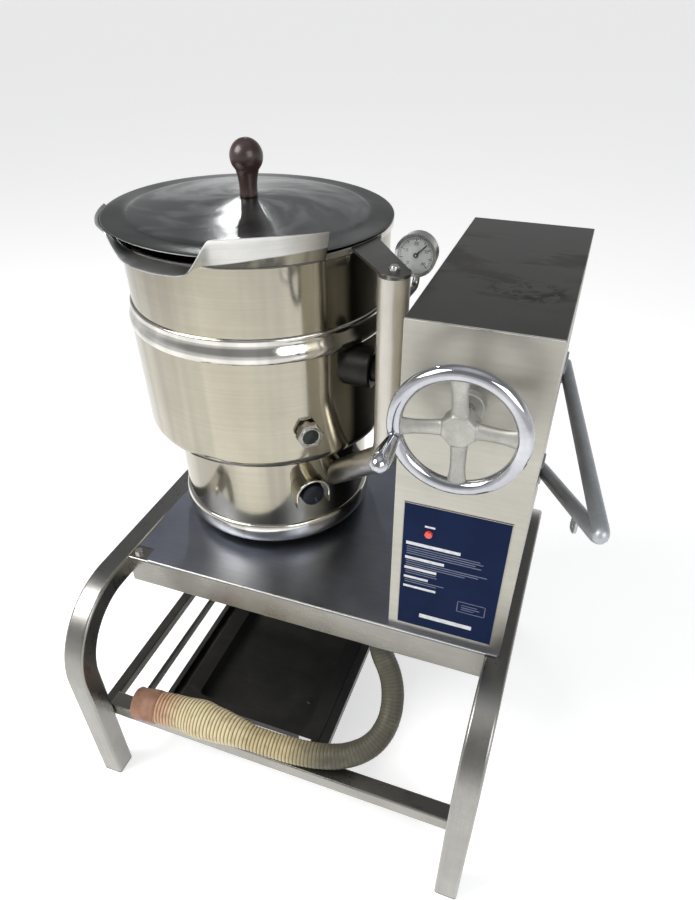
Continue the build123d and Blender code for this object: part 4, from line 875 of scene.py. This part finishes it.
sm.factor = 0.5
sm.iterations = 6
bpy.context.view_layer.update()
baked = bpy.data.meshes.new_from_object(spider.evaluated_get(bpy.context.evaluated_depsgraph_get()))
spider.modifiers.clear()
spider.data = baked
for p in baked.polygons:
    p.use_smooth = True

# --------------------------------------------------------- label and gauge
bm = bmesh.new()
for x0, x1, z, h in ((25, 122, 226, 7), (25, 96, 191, 6.5), (25, 84, 166, 6), (25, 70, 143, 5.5), (25, 86, 119, 5.5),
                     (60, 160, 47, 10), (56, 74, 271, 4)):
    box_into(bm, (x0, -1.32, z - h / 2), (x1, -0.98, z + h / 2))
obj_of("label_bars", bm, M["print"], "stand")
bm = bmesh.new()
random.seed(4)
for x0, x1, z0, n in ((27, 168, 217, 4), (27, 176, 183.5, 3), (27, 120, 158.5, 2), (27, 110, 135.5, 2)):
    for k in range(n):
        box_into(bm, (x0, -1.22, z0 - 5.2 * k - 1.1), (x1 - random.random() * 45, -0.98, z0 - 5.2 * k + 1.1))
# plain frame lower right
for lo, hi in (((128, -1.25, 84), (180, -0.98, 85.6)), ((128, -1.25, 110.4), (180, -0.98, 112)),
               ((128, -1.25, 84), (129.6, -0.98, 112)), ((178.4, -1.25, 84), (180, -0.98, 112)),
               ((136, -1.25, 96), (170, -0.98, 98)), ((136, -1.25, 91), (160, -0.98, 92.6)), ((136, -1.25, 102), (165, -0.98, 103.6))):
    box_into(bm, lo, hi)
obj_of("label_lines", bm, M["print_dim"], "stand")
bm = bmesh.new()
for lo, hi in (((17, -1.2, 15), (18.4, -0.9, 316)), ((198.6, -1.2, 15), (200, -0.9, 316)),
               ((18.4, -1.2, 314.6), (198.6, -0.9, 316)), ((18.4, -1.2, 15), (198.6, -0.9, 16.4))):
    box_into(bm, lo, hi)
obj_of("label_border", bm, M["side"], "stand")

# dial: marks around three quarters of a turn and plain numbers
GX, GY, GZ = -44.0, 215.0, 647.0
bm = bmesh.new()
for i in range(41):
    t = radians(225 - 270 * i / 40)
    long_ = 5.0 if i % 5 == 0 else 2.6
    wide = 0.65 if i % 5 == 0 else 0.35
    u, v = Vector((cos(t), 0, sin(t))), Vector((-sin(t), 0, cos(t)))
    c = Vector((GX, GY + 4.7, GZ))
    q = [c + u * 27.5 - v * wide, c + u * 27.5 + v * wide, c + u * (27.5 - long_) + v * wide, c + u * (27.5 - long_) - v * wide]
    lo = [bm.verts.new(P(*(p + Vector((0, 0.15, 0))))) for p in q]
    hi = [bm.verts.new(P(*p)) for p in q]
    bm.faces.new(hi)
    bm.faces.new(lo[::-1])
    for i2 in range(4):
        bm.faces.new((lo[i2], lo[(i2 + 1) % 4], hi[(i2 + 1) % 4], hi[i2]))
obj_of("dial_marks", bm, M["ink"], "kettle")
for i in range(0, 9, 2):
    t = radians(225 - 270 * i / 8)
    fc = bpy.data.curves.new("dial_number", "FONT")
    fc.body = str(i * 5)
    fc.size = 0.0075
    fc.extrude = 0.00006
    fc.align_x = "CENTER"
    fc.align_y = "CENTER"
    fo = bpy.data.objects.new("dial_number_%d" % i, fc)
    scene.collection.objects.link(fo)
    fo.location = P(GX + 18.5 * cos(t), GY + 4.68, GZ + 18.5 * sin(t))
    fo.rotation_euler = (pi / 2, 0, 0)
    bpy.context.view_layer.update()
    nm = bpy.data.meshes.new_from_object(fo)
    nm.transform(fo.matrix_world)
    bpy.data.objects.remove(fo)
    no = bpy.data.objects.new("dial_figure_%d" % i, nm)
    scene.collection.objects.link(no)
    nm.materials.clear()
    nm.materials.append(M["ink"])
    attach(no, "kettle")

# --------------------------------------------------------- CAD nodes' looks
LOOK = {
    "polish": ["bowl_wall", "bowl_bottom", "base_skirt", "knob_guard"],
    "hex": ["sight_glass_bezel"],
    "polish_turned": ["rim_ring"],
    "boss": ["trunnion_boss", "trunnion_shaft"],
    "tube": ["side_tube"],
    "front": ["console_front"],
    "side": ["console_back", "console_right"],
    "shade": ["console_left"],
    "top": ["console_top"],
    "frame": ["left_side_frame", "right_side_frame"],
    "frame_x": ["front_rail", "rear_rail", "front_stretcher", "rear_stretcher"],
    "slide": ["low_rails", "left_slide", "right_slide"],
    "deck": ["deck_plate"],
    "pan": ["drain_pan"],
    "strap": ["tube_strap"],
    "machined": ["strap_bolt", "frame_bolts", "trunnion_bearings", "safety_valve_lever", "gauge_case", "worm_shaft"],
    "chrome": ["handwheel_rim", "handle_grip", "handle_stud"],
    "cast": ["gear_bracket", "worm_bush"],
    "blue": ["label_panel"],
    "red": ["indicator_lens"],
    "black": ["thermostat_knob"],
    "feet": ["leg_feet"],
    "brass": ["safety_valve", "drain_spigot", "worm_wheel"],
    "dial": ["gauge_dial"],
    "ink": ["gauge_needle"],
    "glass": ["gauge_lens"],
    "sight": ["sight_glass"],
}
for key, names in LOOK.items():
    for n in names:
        me = N[n].data
        me.materials.clear()
        me.materials.append(M[key])
        for s in N[n].material_slots:
            s.material = M[key]

# -------------------------------------------------------------------- stage
bm = bmesh.new()
R_F = 90.0
vs = [bm.verts.new((R_F * cos(2 * pi * i / 64), R_F * sin(2 * pi * i / 64), 0)) for i in range(64)]
bm.faces.new(vs)
me = bpy.data.meshes.new("floor")
bm.to_mesh(me)
bm.free()
floor = bpy.data.objects.new("floor", me)
scene.collection.objects.link(floor)
fm = Nodes("pale_floor")
fm.set(Base_Color=fm.mix(fm.noise(fm.co, 1.2, 3), (0.86, 0.86, 0.855), (0.88, 0.88, 0.875)), Roughness=0.75)
fm.b.inputs["Specular IOR Level"].default_value = 0.2
fm.b.inputs["Emission Color"].default_value = (1, 1, 1, 1)
fm.b.inputs["Emission Strength"].default_value = 0.46
me.materials.append(fm.mat)

w = bpy.data.worlds.new("studio")
scene.world = w
w.use_nodes = True
wt = w.node_tree
wt.nodes.clear()
bg = wt.nodes.new("ShaderNodeBackground")
wo = wt.nodes.new("ShaderNodeOutputWorld")
wt.links.new(bg.outputs[0], wo.inputs[0])
tc = wt.nodes.new("ShaderNodeTexCoord")
sx = wt.nodes.new("ShaderNodeSeparateXYZ")
wt.links.new(tc.outputs["Generated"], sx.inputs[0])
ramp = wt.nodes.new("ShaderNodeValToRGB")
wt.links.new(sx.outputs["Z"], ramp.inputs[0])
ramp.color_ramp.elements[0].position = 0.0
ramp.color_ramp.elements[0].color = (0.92, 0.92, 0.91, 1)
ramp.color_ramp.elements[1].position = 1.0
ramp.color_ramp.elements[1].color = (0.75, 0.76, 0.78, 1)
for pos, c in ((0.06, 0.80), (0.30, 0.34), (0.80, 0.26)):
    e = ramp.color_ramp.elements.new(pos)
    e.color = (c, c, c * 1.01, 1)
wt.links.new(ramp.outputs[0], bg.inputs[0])
bg.inputs[1].default_value = 1.0


def area(name, loc, target, size, power, colour=(1, 1, 1), sy=None):
    li = bpy.data.lights.new(name, "AREA")
    li.energy = power
    li.color = colour
    li.shape = "RECTANGLE"
    li.size = size
    li.size_y = sy or size
    o = bpy.data.objects.new(name, li)
    scene.collection.objects.link(o)
    o.location = loc
    o.rotation_euler = (Vector(target) - Vector(loc)).to_track_quat("-Z", "Y").to_euler()
    return o


area("key", (-2.2, -1.6, 3.4), (0, 0, 0.7), 2.0, 120, (1.0, 0.985, 0.96))
area("fill", (2.6, -2.0, 2.6), (0, 0, 0.6), 2.2, 60, (0.96, 0.98, 1.0))
area("back", (-1.53, 2.45, 2.55), (-0.22, 0.07, 1.22), 0.10, 3.2)

cam = bpy.data.cameras.new("camera")
cam.sensor_fit = "VERTICAL"
cam.sensor_height = 24
cam.lens = 17.893
cam.shift_x = 0.0021
cam.shift_y = 0.0532
co = bpy.data.objects.new("camera", cam)
scene.collection.objects.link(co)
X, Y, Z = Vector((0.938994, 0.343867, -0.006819)), Vector((-0.211175, 0.592076, 0.777721)), Vector((0.271470, -0.728835, 0.628572))
mw = Matrix((X, Y, Z)).transposed().to_4x4()
mw.translation = P(228.9, -851.1, 1027.6)
co.matrix_world = mw
scene.camera = co
scene.view_settings.view_transform = "Standard"
scene.view_settings.look = "None"
